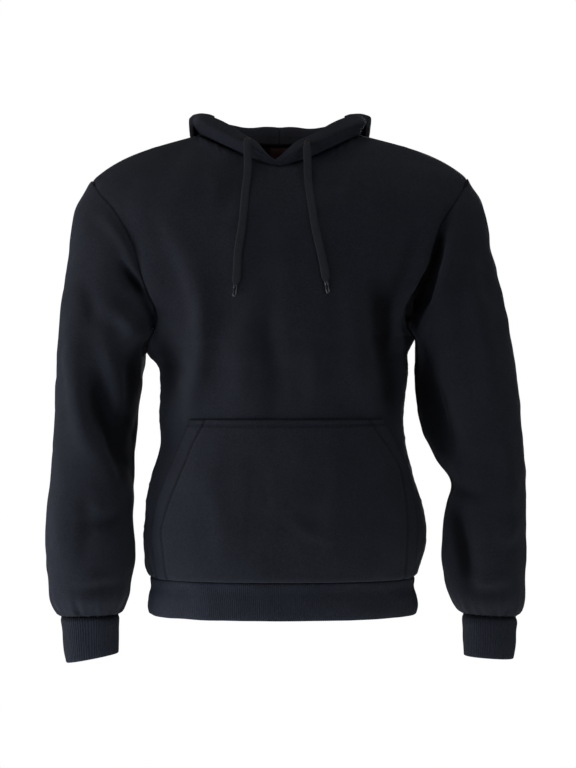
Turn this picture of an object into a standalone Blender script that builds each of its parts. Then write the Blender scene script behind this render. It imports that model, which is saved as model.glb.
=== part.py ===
"""A pullover hoodie, hood down, filled out as it hangs when worn.

Metres, +Z up, the front faces -Y. The origin is the middle of the neck at the height of the shoulder
seams. Right and left are the wearer's: right is -X and left is +X. Every piece of cloth is a grid of
points on the garment's outer face, made a wall by a second grid inside it.
"""

import math

import bpy
import numpy as np
from mathutils import Matrix, Vector
from mathutils.bvhtree import BVHTree

MM = 0.001
NAME = "pullover_hoodie"
RIGHT, LEFT = 0, 1
FRONT, BACK = -1, 1

# Cloth, in metres
FLEECE = 2.4 * MM
RIB_DOUBLED = 4.0 * MM
HOOD_DOUBLED = 3.6 * MM
CASING = 5.2 * MM
LABEL_CLOTH = 1.0 * MM
SEAM_HALF_GAP = 0.17 * MM
SAME_PLACE = 0.01 * MM

# Both sides of a seam split their end faces the same way, by which end lies further along this.
RIM_LEAN = np.array((0.31, 0.57, 0.76))

# How finely the grids are cut
SIDE_ROWS = 13
ARMHOLE_ROWS = 10
SHOULDER_COLUMNS = 7
NECK_COLUMNS = 16
SLEEVE_RINGS = 22
BAND_ROWS = 4
CUFF_ROWS = 4
HOOD_ROWS = 16
POCKET_COLUMNS = 20
POCKET_ROWS = 9
FINE_STEPS = 40

HEM_SEAM = -588 * MM
HEM_EDGE = -638 * MM
NECK_SHARE = 0.44
NECK_POINT_UP = 8 * MM
FRONT_NECK_UP = -42 * MM
BACK_NECK_UP = -2 * MM
NECK_DEPTH = {FRONT: 78 * MM, BACK: 68 * MM}
NECKLINE_POWER = {FRONT: 1.35, BACK: 2.0}
SHOULDER_ROLL = 85 * MM
SHOULDER_ROLL_POWER = 0.6
SHOULDER_STRAIGHT = 0.62
SHOULDER_TIP = ((-259 * MM, -54 * MM), (250 * MM, -51 * MM))


def table(columns, *rows):
    """A short table written in millimetres, as named columns in metres."""
    return {name: np.array([row[i] for row in rows]) * MM for i, name in enumerate(columns.split())}


# The body's side seams: how far out they stand at each height.
SIDES = table(
    "up right left",
    (-591, 180, 178),
    (-567, 186, 186),
    (-540, 189, 193),
    (-513, 187, 192),
    (-486, 185, 186),
    (-459, 180, 178),
    (-432, 171, 170),
    (-405, 164, 165),
    (-378, 166, 162),
    (-351, 166, 165),
    (-324, 165, 168),
    (-304, 170, 169),
    (-288, 184, 168),
    (-268, 184, 178),
)

# How far the middle of the front and of the back stand out at each height.
DEPTHS = table(
    "up front back",
    (-591, 121, 121),
    (-540, 122, 122),
    (-480, 117, 114),
    (-400, 112, 100),
    (-330, 115, 106),
    (-250, 121, 120),
    (-180, 119, 125),
    (-130, 111, 120),
    (-90, 101, 110),
    (-50, 88, 96),
    (-20, 78, 84),
    (14, 70, 70),
)

# A panel's section from its middle to its side: it hangs full below the underarm, and is drawn flatter
# to the armholes above it.
HUNG_POWERS = (2.5, 1 / 2.2)
HELD_POWERS = (2.3, 0.95)
HELD_FROM = -50 * MM
HELD_TO = 90 * MM
UNDERARM_ROWS = 4
UNDERARM_BAND = 60 * MM
YOKE_POWER = 1.3

# The armhole seams from the underarm to the shoulder tip, over the front and over the back.
ARMHOLES = (
    table(
        "up front_across front_out back_across back_out",
        (-288, 184, 0, 184, 0),
        (-275, 180, 35, 181, 36),
        (-253, 170, 60, 177, 62),
        (-232, 169, 70, 177, 74),
        (-212, 178, 74, 181, 80),
        (-180, 188, 75, 189, 84),
        (-148, 197, 75, 199, 85),
        (-119, 211, 74, 213, 84),
        (-94, 227, 70, 229, 80),
        (-75, 244, 66, 245, 74),
        (-54, 259, 62, 259, 68),
    ),
    table(
        "up front_across front_out back_across back_out",
        (-268, 178, 0, 178, 0),
        (-260, 171, 33, 173, 34),
        (-245, 164, 56, 169, 60),
        (-222, 168, 68, 170, 74),
        (-201, 184, 73, 178, 80),
        (-175, 194, 75, 188, 84),
        (-143, 203, 75, 200, 85),
        (-115, 212, 74, 212, 84),
        (-94, 225, 70, 226, 80),
        (-75, 238, 66, 240, 74),
        (-51, 250, 62, 250, 68),
    ),
)

# The sleeves' rings below the armhole: the outer and inner point, half the depth, and the middle's
# place from front to back.
SLEEVES = (
    table(
        "outer_across outer_up inner_across inner_up half_depth middle",
        (259, -54, 184, -288, 78, 0),
        (278, -88, 188, -292, 79, 0),
        (289, -150, 187, -306, 79, -2),
        (298, -215, 190, -330, 77, -4),
        (303, -275, 194, -361, 75, -7),
        (306, -335, 197, -396, 71, -11),
        (308, -395, 199, -436, 67, -16),
        (311, -450, 200, -478, 63, -22),
        (316, -505, 200, -519, 60, -28),
        (317, -552, 197, -558, 57, -33),
        (314, -592, 203, -592, 52, -36),
        (309, -620, 208, -618, 44, -38),
        (299, -640, 216, -637, 27, -39),
    ),
    table(
        "outer_across outer_up inner_across inner_up half_depth middle",
        (250, -51, 178, -268, 78, 0),
        (269, -84, 182, -273, 79, 0),
        (282, -148, 181, -290, 79, -2),
        (294, -205, 178, -320, 78, -5),
        (305, -260, 180, -356, 77, -8),
        (314, -315, 188, -394, 75, -12),
        (320, -380, 206, -430, 70, -16),
        (325, -440, 226, -464, 64, -21),
        (325, -495, 216, -502, 60, -27),
        (325, -548, 212, -550, 57, -32),
        (323, -592, 216, -592, 52, -35),
        (322, -618, 225, -616, 44, -37),
        (314, -640, 237, -636, 27, -38),
    ),
)

SLEEVE_SQUARENESS = 0.9
SLEEVE_ARMHOLE_SHARE = 0.34
SLEEVE_FOLDS_FROM = 0.12
SLEEVE_FOLDS_TO = 0.93

# The cuffs below the sleeves, in the same way.
CUFFS = (
    table(
        "outer_across outer_up inner_across inner_up half_depth middle",
        (299, -640, 216, -637, 27, -39),
        (295, -655, 218, -649, 26, -40),
        (293, -675, 219, -667, 26, -41),
        (290, -700, 220, -687, 26, -42),
    ),
    table(
        "outer_across outer_up inner_across inner_up half_depth middle",
        (314, -640, 237, -636, 27, -38),
        (312, -655, 239, -652, 26, -39),
        (310, -675, 240, -672, 26, -40),
        (306, -695, 240, -690, 26, -41),
    ),
)

# The waistband's size at each height, as a share of the hem seam's ring.
WAISTBAND = table(
    "up wider",
    (-638, 0.995),
    (-630, 1.008),
    (-614, 1.004),
    (-599, 0.985),
    (-588, 1.0),
)

# The hood's meridians, by the angle round the neck from the front in degrees. turn is the way that a
# meridian faces. Its cloth rises to a crest, rolls over as far as roll says in degrees, and behind the
# neck it takes more and more of the pouch's reach outward and of its drop.
HOOD_ANGLES = (0, 15, 30, 60, 75, 90, 105, 120, 135, 155, 180)
HOOD_TURNS = (0, 15, 30, 60, 76, 96, 122, 145, 160, 171, 180)
HOOD_ROLLS = (0, 0, 0, 4, 20, 50, 95, 135, 150, 150, 150)
HOOD_POUCHES = (0, 0, 0, 0, 0, 0.02, 0.12, 0.42, 0.75, 0.95, 1)
HOOD_DROPS = (0, 0, 0, 0, 0, 0, 0.09, 0.32, 0.66, 0.94, 1)
HOOD_BAND = table(
    "rise bulge crest",
    (10, 1, 0),
    (27, 9, -3),
    (30, 11, -5),
    (31, 11, -5),
    (28, 9, -1),
    (23, 7, 5),
    (23, 5, 8),
    (28, 4, 7),
    (30, 4, 7),
    (27, 3, 8),
    (23, 3, 8),
)
HOOD_ROLL_ROUND = 7.5 * MM

# The band's standing part: its share of the bulge, of the crest and of the rise.
HOOD_STAND = ((0, 0, 0), (0.5, 0, 0.25), (1, 0, 0.6), (0.3, 0.7, 0.92), (0, 1, 1))

# The pouch's line behind the neck beyond the crest, outward and up from the neck seam.
POUCH = table("out up", (22, 20), (32, 2), (44, -60), (58, -140), (76, -172), (96, -146), (104, -80), (90, 5))
HOOD_V_SHIFT = -6 * MM
HOOD_V_SPREAD = 25
HOOD_OFF_BODY = 6.5 * MM
HOOD_POUCH_FROM = 80
HOOD_CREST_ROUND = 14 * MM
HOOD_SETTLINGS = 2
HOOD_SETTLE_SHARE = 0.5
HOOD_SETTLE_ANGLES = (70, 85, 135, 165)
HOOD_LEAST_ROLL = 3
HOOD_THIN_SHARE = 0.25
CASING_WIDE = 28 * MM
CASING_STEP = 0.6

# The kangaroo pocket's two open edges at each height.
POCKET = table(
    "up right left",
    (-588, 166, 171),
    (-552, 171, 175),
    (-516, 171, 176),
    (-482, 163, 172),
    (-436, 146, 162),
    (-405, 134, 147),
    (-375, 122, 130),
)
POCKET_TOP = -375 * MM
POCKET_BOTTOM = -587.4 * MM
POCKET_OFF = 0.7 * MM
POCKET_PUFF = 2.2 * MM
POCKET_PUFF_POWER = 0.7
POCKET_EVEN = 0.2

# How a fold runs out at its ends, and how fast folds die out towards a side seam.
FOLD_STEPS = 24
FOLD_END = 0.04
FOLD_TAPER = 0.6
FOLD_EDGE_POWER = 10

# Folds. Each row is a soft ridge, or a trough if its height is negative, along points across and up.
FRONT_FOLDS = (
    (9, 22, ((-154, -108), (-124, -172), (-109, -245), (-112, -285), (-129, -358), (-137, -389))),
    (6, 18, ((-196, -148), (-172, -200), (-147, -248))),
    (-7, 18, ((-160, -262), (-150, -310), (-152, -350))),
    (-10, 21, ((120, -195), (128, -245), (133, -285), (139, -337), (146, -372))),
    (6, 20, ((88, -190), (94, -250), (98, -310), (104, -350))),
)
BACK_FOLDS = (
    (8, 24, ((-150, -160), (-128, -240), (-120, -330), (-132, -410))),
    (-8, 24, ((-62, -270), (-50, -350), (-58, -430))),
    (8, 24, ((146, -170), (122, -250), (112, -340), (126, -420))),
    (-8, 25, ((20, -300), (34, -380), (26, -470))),
)
SLEEVE_FRONT_FOLDS = (
    (
        (-11, 19, ((-246, -318), (-244, -360), (-228, -392), (-214, -430), (-204, -452))),
        (8, 17, ((-283, -230), (-281, -264), (-277, -308), (-268, -362), (-264, -390), (-248, -424))),
        (7, 15, ((-196, -236), (-200, -262), (-214, -282))),
    ),
    (
        (-11, 21, ((196, -260), (203, -320), (218, -380), (232, -440))),
        (8, 17, ((250, -180), (264, -260), (276, -350))),
        (-9, 17, ((236, -470), (242, -512), (262, -530))),
    ),
)
SLEEVE_BACK_FOLDS = (
    (
        (-9, 19, ((-262, -352), (-232, -392), (-222, -440))),
        (8, 17, ((-246, -250), (-262, -330), (-270, -420))),
    ),
    (
        (-9, 19, ((276, -352), (246, -396), (236, -440))),
        (8, 17, ((250, -250), (268, -330), (282, -430))),
    ),
)

# The drawcord's two free ends, from where each leaves its eyelet to where its metal tip begins.
CORD_WIDE = 10.4 * MM
CORD_THICK = 3.0 * MM
CORD_END_SHARE = 0.42
CORD_POINTS = 26
CORD_NARROW_POINTS = 2
CORD_TILT = math.radians(90)
CORD_ROUTES = (
    (
        (-47.3, -81.1, -4.3),
        (-46.9, -86.5, -9),
        (-46.6, -88, -17),
        (-46.3, -87.5, -28),
        (-46, -87.5, -44),
        (-49.5, -99.4, -81),
        (-53.3, -112.4, -125),
        (-58.5, -117.2, -158),
        (-59.8, -119.8, -186),
        (-61.5, -119.9, -200),
    ),
    (
        (31.8, -84.7, -10.2),
        (31.9, -88.2, -16),
        (32, -89.4, -24),
        (32.4, -89, -36),
        (33, -90, -59),
        (37, -101.3, -90),
        (42, -111.4, -124),
        (49.5, -117, -157),
        (55, -119.6, -186),
        (56.5, -119.8, -196),
    ),
)
EYELETS = ((21.0, 0.69), (18.7, 0.60))
EYELET_RING = 4.2 * MM
EYELET_WIRE = 1.2 * MM
EYELET_OFF = 0.5 * MM
EYELET_SEGMENTS = 16
EYELET_WIRE_SEGMENTS = 6
TIP_LONG = 15 * MM
TIP_WIDE = 4.8 * MM
TIP_THICK = 2.8 * MM
TIP_GAP = 0.3 * MM
TIP_SEGMENTS = 16

LABEL_WIDE = 36 * MM
LABEL_LONG = 20 * MM
LABEL_BELOW_SEAM = 3 * MM
LABEL_OFF = 0.4 * MM
LABEL_ROWS = 4
LABEL_COLUMNS = 6

# Finishes: colour, roughness and metallic
CLOTH = ((0.012, 0.014, 0.020), 0.95, 0.0)
CORD_CLOTH = ((0.012, 0.014, 0.020), 0.8, 0.0)
LABEL_RED = ((0.060, 0.006, 0.006), 0.95, 0.0)
STEEL = ((0.60, 0.60, 0.62), 0.25, 1.0)
GUNMETAL = ((0.10, 0.10, 0.10), 0.35, 1.0)


def smooth(at, knots, values):
    """A smooth curve through the values at the knots, read at the given places."""
    knots = np.asarray(knots, float)
    values = np.asarray(values, float)
    slopes = np.gradient(values, knots, axis=0)
    at = np.clip(np.asarray(at, float), knots[0], knots[-1])
    i = np.clip(np.searchsorted(knots, at, side="right") - 1, 0, len(knots) - 2)
    span = knots[i + 1] - knots[i]
    t = (at - knots[i]) / span
    if values.ndim > 1:
        span = span[..., None]
        t = t[..., None]
    start = (2 * t**3 - 3 * t**2 + 1) * values[i] + (t**3 - 2 * t**2 + t) * span * slopes[i]
    end = (3 * t**2 - 2 * t**3) * values[i + 1] + (t**3 - t**2) * span * slopes[i + 1]
    return start + end


def ease(value, low, high):
    """0 below low, 1 above high, and a soft step between."""
    t = np.clip((value - low) / (high - low), 0, 1)
    return t * t * (3 - 2 * t)


def unit(vectors):
    """The vectors at length 1."""
    return vectors / np.maximum(np.linalg.norm(vectors, axis=-1, keepdims=True), 1e-12)


def along_line(points, count):
    """That many points evenly spaced along a smooth curve through the points."""
    points = np.asarray(points, float)
    knots = np.concatenate([[0], np.cumsum(np.linalg.norm(np.diff(points, axis=0), axis=1))])
    fine = smooth(np.linspace(0, knots[-1], FINE_STEPS * len(points)), knots, points)
    run = np.concatenate([[0], np.cumsum(np.linalg.norm(np.diff(fine, axis=0), axis=1))])
    at = np.linspace(0, run[-1], count)
    return np.stack([np.interp(at, run, fine[:, k]) for k in range(points.shape[1])], axis=1)


def fold_height(folds, across, up):
    """How far the folds lift the cloth at each place."""
    total = np.zeros(np.broadcast(across, up).shape)
    for height, width, points in folds:
        line = along_line(np.array(points) * MM, FOLD_STEPS)
        away = np.sqrt((across[..., None] - line[:, 0]) ** 2 + (up[..., None] - line[:, 1]) ** 2)
        nearest = away.argmin(axis=-1) / (len(line) - 1)
        taper = np.sin(np.pi * np.clip(nearest, FOLD_END, 1 - FOLD_END)) ** FOLD_TAPER
        total = total + height * MM * taper * np.exp(-((away.min(axis=-1) / (width * MM)) ** 2))
    return total


# The body


def shoulder_up(u):
    """The height of the shoulder seams at each share of the width."""
    share = np.clip((np.abs(u) - NECK_SHARE) / (1 - NECK_SHARE), 0, 1)
    tip = np.where(u < 0, SHOULDER_TIP[RIGHT][1], SHOULDER_TIP[LEFT][1])
    slope = SHOULDER_STRAIGHT * share + (1 - SHOULDER_STRAIGHT) * share**4
    return NECK_POINT_UP + (tip - NECK_POINT_UP) * slope


def top_edge(face, u):
    """The height and the depth of a panel's top edge: shoulder seam, neckline, shoulder seam."""
    share = np.clip(np.abs(u) / NECK_SHARE, 0, 1)
    low = FRONT_NECK_UP if face == FRONT else BACK_NECK_UP
    neck = low + (NECK_POINT_UP - low) * share ** NECKLINE_POWER[face]
    up = np.where(share < 1, neck, shoulder_up(u))
    depth = face * NECK_DEPTH[face] * np.sqrt(np.maximum(1 - share**2, 0))
    return up, depth


def side_line(side):
    """The heights and distances out of a side seam, from the hem seam to the underarm."""
    underarm = ARMHOLES[side]["up"][0]
    level = min(arm["up"][0] for arm in ARMHOLES) - UNDERARM_BAND
    low = np.linspace(HEM_SEAM, level, SIDE_ROWS - UNDERARM_ROWS, endpoint=False)
    up = np.concatenate([low, np.linspace(level, underarm, UNDERARM_ROWS)])
    return up, smooth(up, SIDES["up"], SIDES[("right", "left")[side]])


def armhole_line(side, face):
    """The heights, distances out and unrolled depths of an armhole seam above the underarm."""
    arm = ARMHOLES[side]
    which = "front" if face == FRONT else "back"
    places = np.stack([arm["up"], arm[which + "_across"], arm[which + "_out"]], axis=1)
    return along_line(places, ARMHOLE_ROWS + 1)[1:].T


def depth_at(face, u, up, edge_out, roundness):
    """How deep the cloth of a panel lies at a share of its width, before the shoulders roll it in."""
    middle = smooth(up, DEPTHS["up"], DEPTHS["front" if face == FRONT else "back"])
    wide = np.clip(np.abs(u), 0, 1)
    hung, held = (
        np.maximum(1 - wide**power, 0) ** fullness for power, fullness in (HUNG_POWERS, HELD_POWERS)
    )
    shape = hung + (held - hung) * roundness
    return face * (edge_out + (middle - edge_out) * shape)


def shoulder_roll(below):
    """0 at the top edge and 1 where the body has its full depth."""
    share = np.clip(below / SHOULDER_ROLL, 0, 1)
    return (1 - (1 - share) ** 2) ** SHOULDER_ROLL_POWER


def columns_of_panel():
    """The shares of the width at which a panel's columns lie, closer at the sides and neck points."""
    out = np.sin(np.linspace(0, math.pi / 2, SHOULDER_COLUMNS + 1))[1:]
    shoulder = NECK_SHARE + (1 - NECK_SHARE) * out
    neck = NECK_SHARE * np.sin(np.linspace(-math.pi / 2, math.pi / 2, NECK_COLUMNS + 1))
    return np.concatenate([-shoulder[::-1], neck, shoulder])


def panel(face):
    """The front's or the back's outer face, with rows from the hem seam up."""
    u = columns_of_panel()[None, :]
    ends = []
    for side in (RIGHT, LEFT):
        side_up, side_out = side_line(side)
        arm_up, arm_out, arm_deep = armhole_line(side, face)
        up = np.concatenate([side_up, arm_up])[:, None]
        out = np.concatenate([side_out, arm_out])[:, None]
        deep = np.concatenate([0 * side_up, arm_deep])[:, None]
        ends.append((up, out, deep))
    (up_r, out_r, deep_r), (up_l, out_l, deep_l) = ends
    t = (u + 1) / 2
    top_up, top_depth = top_edge(face, u)
    tips = SHOULDER_TIP[RIGHT][1] * (1 - t) + SHOULDER_TIP[LEFT][1] * t
    rows = np.arange(len(up_r))[:, None]
    lift = ease(rows, SIDE_ROWS - UNDERARM_ROWS, len(up_r) - 1) ** YOKE_POWER
    up = up_r * (1 - t) + up_l * t + (top_up - tips) * lift
    across = -out_r * (1 - t) + out_l * t
    edge = deep_r * (1 - t) + deep_l * t
    under = ARMHOLES[RIGHT]["up"][0] * (1 - t) + ARMHOLES[LEFT]["up"][0] * t
    roundness = ease(up, under + HELD_FROM, under + HELD_TO)
    full = depth_at(face, u, up, edge, roundness)
    folds = FRONT_FOLDS if face == FRONT else BACK_FOLDS
    full = full + face * fold_height(folds, across, up) * (1 - np.abs(u) ** FOLD_EDGE_POWER)
    depth = top_depth + (full - top_depth) * shoulder_roll(top_up - up)
    points = np.stack([across, depth, up], axis=-1)
    return points if face == FRONT else points[:, ::-1]


# Sleeves and cuffs


def ring(row, turn, side):
    """A sleeve's ring: 0 is the outer point, a quarter turn the front, half a turn the inner point."""
    sign = -1 if side == RIGHT else 1
    outer = np.stack([sign * row["outer_across"], row["middle"], row["outer_up"]], axis=-1)
    inner = np.stack([sign * row["inner_across"], row["middle"], row["inner_up"]], axis=-1)
    middle = (outer + inner)[:, None, :] / 2
    reach = (outer - inner)[:, None, :] / 2
    cosine = np.cos(turn)[None, :, None]
    sine = np.sin(turn)[None, :]
    flat = np.sign(cosine) * np.abs(cosine) ** SLEEVE_SQUARENESS
    deep = -np.sign(sine) * np.abs(sine) ** SLEEVE_SQUARENESS * row["half_depth"][:, None]
    points = middle + reach * flat
    points[..., 1] += deep
    return points


def rings_of(sections, count):
    """The sections' columns read smoothly at that many places."""
    steps = np.sqrt(np.diff(sections["outer_up"]) ** 2 + np.diff(sections["outer_across"]) ** 2)
    knots = np.concatenate([[0], np.cumsum(steps)])
    at = np.linspace(0, knots[-1], count)
    return {name: smooth(at, knots, values) for name, values in sections.items()}


def facing_out(rings, side):
    """Rings in the order that makes their faces point out."""
    return rings[::-1] if side == RIGHT else rings


def sleeve(side, armhole):
    """A sleeve's outer face between the armhole seam and the cuff seam."""
    turn = np.linspace(0, 2 * math.pi, len(armhole), endpoint=False)
    points = ring(rings_of(SLEEVES[side], SLEEVE_RINGS), turn, side)
    share = np.linspace(0, 1, SLEEVE_RINGS)
    hold = (1 - ease(share, 0, SLEEVE_ARMHOLE_SHARE))[:, None, None]
    points = points + (armhole[None, :, :] - points[:1]) * hold
    front = np.clip(np.sin(turn), 0, 1)[None, :] ** 0.5
    back = np.clip(-np.sin(turn), 0, 1)[None, :] ** 0.5
    free = (ease(share, 0, SLEEVE_FOLDS_FROM) * (1 - ease(share, SLEEVE_FOLDS_TO, 1)))[:, None]
    across, up = points[..., 0], points[..., 2]
    lift_front = fold_height(SLEEVE_FRONT_FOLDS[side], across, up) * front
    lift_back = fold_height(SLEEVE_BACK_FOLDS[side], across, up) * back
    points[..., 1] += (lift_back - lift_front) * free
    return facing_out(points, side)


def cuff(side, seam):
    """A cuff's outer face between the cuff seam and its folded edge."""
    turn = np.linspace(0, 2 * math.pi, len(seam), endpoint=False)
    points = ring(rings_of(CUFFS[side], CUFF_ROWS + 1), turn, side)
    points[0] = seam
    return facing_out(points, side)


def waistband(hem):
    """The waistband's outer face, from its folded edge up to the hem seam."""
    at = np.linspace(HEM_EDGE, HEM_SEAM, BAND_ROWS + 1)
    scale = smooth(at, WAISTBAND["up"], WAISTBAND["wider"] / MM)
    points = np.repeat(hem[None, :, :], len(at), axis=0)
    points[..., :2] *= scale[:, None, None]
    points[..., 2] += (at - HEM_SEAM)[:, None]
    return points


# Hood


def meridian(band, roll, pouch, drop):
    """One line of the hood from the neck seam to the rim, outward and up from the seam."""
    rise, bulge, crest = band["rise"], band["bulge"], band["crest"]
    stand = [(low * bulge + high * crest, of_rise * rise) for low, high, of_rise in HOOD_STAND]
    if roll < HOOD_LEAST_ROLL:
        return np.array(stand)
    turns = np.radians(roll * np.linspace(0, 1, len(POUCH["out"]) + 1))[1:]
    rolled_out = crest + HOOD_ROLL_ROUND * (1 - np.cos(turns))
    rolled_up = rise + HOOD_ROLL_ROUND * np.sin(turns)
    out = rolled_out * (1 - pouch) + POUCH["out"] * pouch
    up = rolled_up * (1 - drop) + POUCH["up"] * drop
    return np.concatenate([stand, np.stack([out, up], axis=1)])


def hood(side, seam, body):
    """Half of the hood's outer face and its thickness: a row for each meridian from front to back."""
    sign = -1 if side == RIGHT else 1
    angles = np.linspace(0, 180, len(seam))
    bands = {name: smooth(angles, HOOD_ANGLES, values) for name, values in HOOD_BAND.items()}
    turns = np.radians(smooth(angles, HOOD_ANGLES, HOOD_TURNS))
    rolls = smooth(angles, HOOD_ANGLES, HOOD_ROLLS)
    pouches = smooth(angles, HOOD_ANGLES, HOOD_POUCHES)
    drops = smooth(angles, HOOD_ANGLES, HOOD_DROPS)
    share = np.linspace(0, 1, HOOD_ROWS + 1)
    points = np.repeat(seam[:, None, :], HOOD_ROWS + 1, axis=1)
    left_over = np.zeros(points.shape[:2])
    for i, angle in enumerate(angles):
        band = {name: values[i] for name, values in bands.items()}
        line = along_line(meridian(band, rolls[i], pouches[i], drops[i]), HOOD_ROWS + 1)
        long = np.linalg.norm(np.diff(line, axis=0), axis=1).sum()
        points[i, :, 0] += sign * math.sin(turns[i]) * line[:, 0]
        points[i, :, 1] -= math.cos(turns[i]) * line[:, 0]
        points[i, :, 2] += line[:, 1]
        points[i, :, 0] += HOOD_V_SHIFT * math.exp(-((angle / HOOD_V_SPREAD) ** 2)) * share
        left_over[i] = long * (1 - share)
    start, full, easing, end = HOOD_SETTLE_ANGLES
    pull = HOOD_SETTLE_SHARE * ease(angles, start, full) * (1 - ease(angles, easing, end))
    for _ in range(HOOD_SETTLINGS):
        beside = (points[:-2] + points[2:]) / 2
        points[1:-1, 1:] += ((beside - points[1:-1]) * pull[1:-1, None, None])[:, 1:]
    for i in np.flatnonzero(angles > HOOD_POUCH_FROM):
        fallen = np.flatnonzero(left_over[i, 0] - left_over[i] > bands["rise"][i] + HOOD_CREST_ROUND)
        points[i, fallen] = lay_on_body(points[i, fallen], body)
    thick = CASING - (CASING - HOOD_DOUBLED) * ease(left_over, CASING_STEP * CASING_WIDE, CASING_WIDE)
    thick = np.minimum(thick, HOOD_THIN_SHARE * left_over[:, :1])
    thick[:, 0] = np.minimum(thick[:, 0], FLEECE)
    return (points[::-1], thick[::-1]) if side == LEFT else (points, thick)


def lay_on_body(places, body):
    """Moves places on the hood out to where they lie just off the body."""
    for place in places:
        on_body, normal, _, _ = body.find_nearest(Vector(place))
        off = (Vector(place) - on_body).dot(normal)
        if off < HOOD_OFF_BODY:
            place[:] = on_body + normal * HOOD_OFF_BODY
    return places


# Pocket and label


def pocket():
    """The pocket's outer face, made from the front's own surface and moved out."""
    up = np.linspace(POCKET_BOTTOM, POCKET_TOP, POCKET_ROWS + 1)[:, None]
    even = np.linspace(-1, 1, POCKET_COLUMNS + 1)[None, :]
    closer_at_ends = POCKET_EVEN * even + (1 - POCKET_EVEN) * np.sin(even * math.pi / 2)
    t = (closer_at_ends + 1) / 2
    right = smooth(up, POCKET["up"], POCKET["right"])
    left = smooth(up, POCKET["up"], POCKET["left"])
    across = -right * (1 - t) + left * t
    up = up + 0 * t
    half_right = smooth(up, SIDES["up"], SIDES["right"])
    half_left = smooth(up, SIDES["up"], SIDES["left"])
    u = (2 * across + half_right - half_left) / (half_right + half_left)
    depth = depth_at(FRONT, u, up, 0.0, 0.0)
    depth = depth - fold_height(FRONT_FOLDS, across, up) * (1 - np.abs(u) ** FOLD_EDGE_POWER)
    base = np.stack([across, depth, up], axis=-1)
    rise = (up - POCKET_BOTTOM) / (POCKET_TOP - POCKET_BOTTOM)
    off = POCKET_OFF + FLEECE + POCKET_PUFF * np.sin(math.pi * rise) ** POCKET_PUFF_POWER
    return base + grid_normals(base, False) * off[..., None]


def label(back_inside):
    """The blank neck label's inner face, hung below the back neck seam inside the back panel."""
    tree = tree_of(back_inside)
    top = BACK_NECK_UP - LABEL_BELOW_SEAM
    points = np.zeros((LABEL_ROWS, LABEL_COLUMNS, 3))
    for i, up in enumerate(np.linspace(top - LABEL_LONG, top, LABEL_ROWS)):
        for j, across in enumerate(np.linspace(-LABEL_WIDE / 2, LABEL_WIDE / 2, LABEL_COLUMNS)):
            hit = tree.ray_cast(Vector((across, 0, up)), Vector((0, 1, 0)))[0]
            points[i, j] = (across, hit.y - LABEL_OFF - LABEL_CLOTH, up)
    return points


# Walls


def grid_normals(points, closed):
    """The unit normal at each point of a grid; a closed grid joins its last column to its first."""
    if closed:
        wide = np.concatenate([points[:, -1:], points, points[:, :1]], axis=1)
        along = (wide[:, 2:] - wide[:, :-2]) / 2
    else:
        along = np.gradient(points, axis=1)
    down = np.gradient(points, axis=0)
    return unit(np.cross(along, down))


def key_of(place):
    """A name for a place, alike for points that coincide."""
    return tuple(np.round(place / SAME_PLACE).astype(int))


def share_normals(pieces):
    """Where pieces meet at a seam's points, gives them one normal, so that their edges lie face to face."""
    total = {}
    for points, normals in pieces:
        for place, normal in zip(points.reshape(-1, 3), normals.reshape(-1, 3)):
            total[key_of(place)] = total.get(key_of(place), 0) + normal
    for points, normals in pieces:
        flat = normals.reshape(-1, 3)
        for i, place in enumerate(points.reshape(-1, 3)):
            flat[i] = unit(total[key_of(place)])


def away_from_edge(edge, inner):
    """The way from each point of an edge to the row inside it, square to the edge."""
    along = unit(np.gradient(edge, axis=0))
    way = inner - edge
    return unit(way - along * (way * along).sum(axis=-1, keepdims=True))


def pull_in(points, closed):
    """The grid with its edges moved in by half a seam's gap."""
    moved = points.copy()
    for edge, inner in ((0, 1), (-1, -2)):
        moved[edge] += away_from_edge(points[edge], points[inner]) * SEAM_HALF_GAP
        if not closed:
            moved[:, edge] += away_from_edge(points[:, edge], points[:, inner]) * SEAM_HALF_GAP
    return moved


def grid_faces(rows, columns, closed, start, flip):
    """The quads of a grid of points whose numbers begin at start."""
    faces = []
    for i in range(rows - 1):
        for j in range(columns if closed else columns - 1):
            k = (j + 1) % columns
            quad = (i * columns + j, i * columns + k, (i + 1) * columns + k, (i + 1) * columns + j)
            faces.append(tuple(start + n for n in (quad[::-1] if flip else quad)))
    return faces


def rim_loops(rows, columns, closed):
    """The numbers of the points round a grid's edges, one loop for each edge."""
    first = list(range(columns))
    last = [(rows - 1) * columns + j for j in range(columns)]
    if closed:
        return [first[::-1], last]
    right = [i * columns + columns - 1 for i in range(rows)]
    left = [i * columns for i in range(rows)]
    return [first[::-1] + left[1:] + last[1:] + right[::-1][1:-1]]


def wall(name, points, normals, thick, closed, looks, collection):
    """A closed wall of cloth, thick inwards from a grid of points on its outer face."""
    outer = pull_in(points, closed)
    inner = outer - normals * np.broadcast_to(thick, points.shape[:2])[..., None]
    rows, columns = points.shape[:2]
    count = rows * columns
    faces = grid_faces(rows, columns, closed, 0, False)
    faces += grid_faces(rows, columns, closed, count, True)
    places = np.concatenate([outer.reshape(-1, 3), inner.reshape(-1, 3)])
    for loop in rim_loops(rows, columns, closed):
        for a, b in zip(loop, loop[1:] + loop[:1]):
            if places[a] @ RIM_LEAN > places[b] @ RIM_LEAN:
                faces += [(a, b, count + b), (a, count + b, count + a)]
            else:
                faces += [(a, b, count + a), (b, count + b, count + a)]
    mesh = bpy.data.meshes.new(name)
    mesh.from_pydata([tuple(place) for place in places], [], faces)
    mesh.update()
    return finish(bpy.data.objects.new(name, mesh), looks, collection)


def tree_of(*grids):
    """A search tree over open grids of points."""
    places, faces = [], []
    for points in grids:
        rows, columns = points.shape[:2]
        faces += grid_faces(rows, columns, False, len(places), False)
        places += [Vector(place) for place in points.reshape(-1, 3)]
    return BVHTree.FromPolygons(places, faces)


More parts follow.
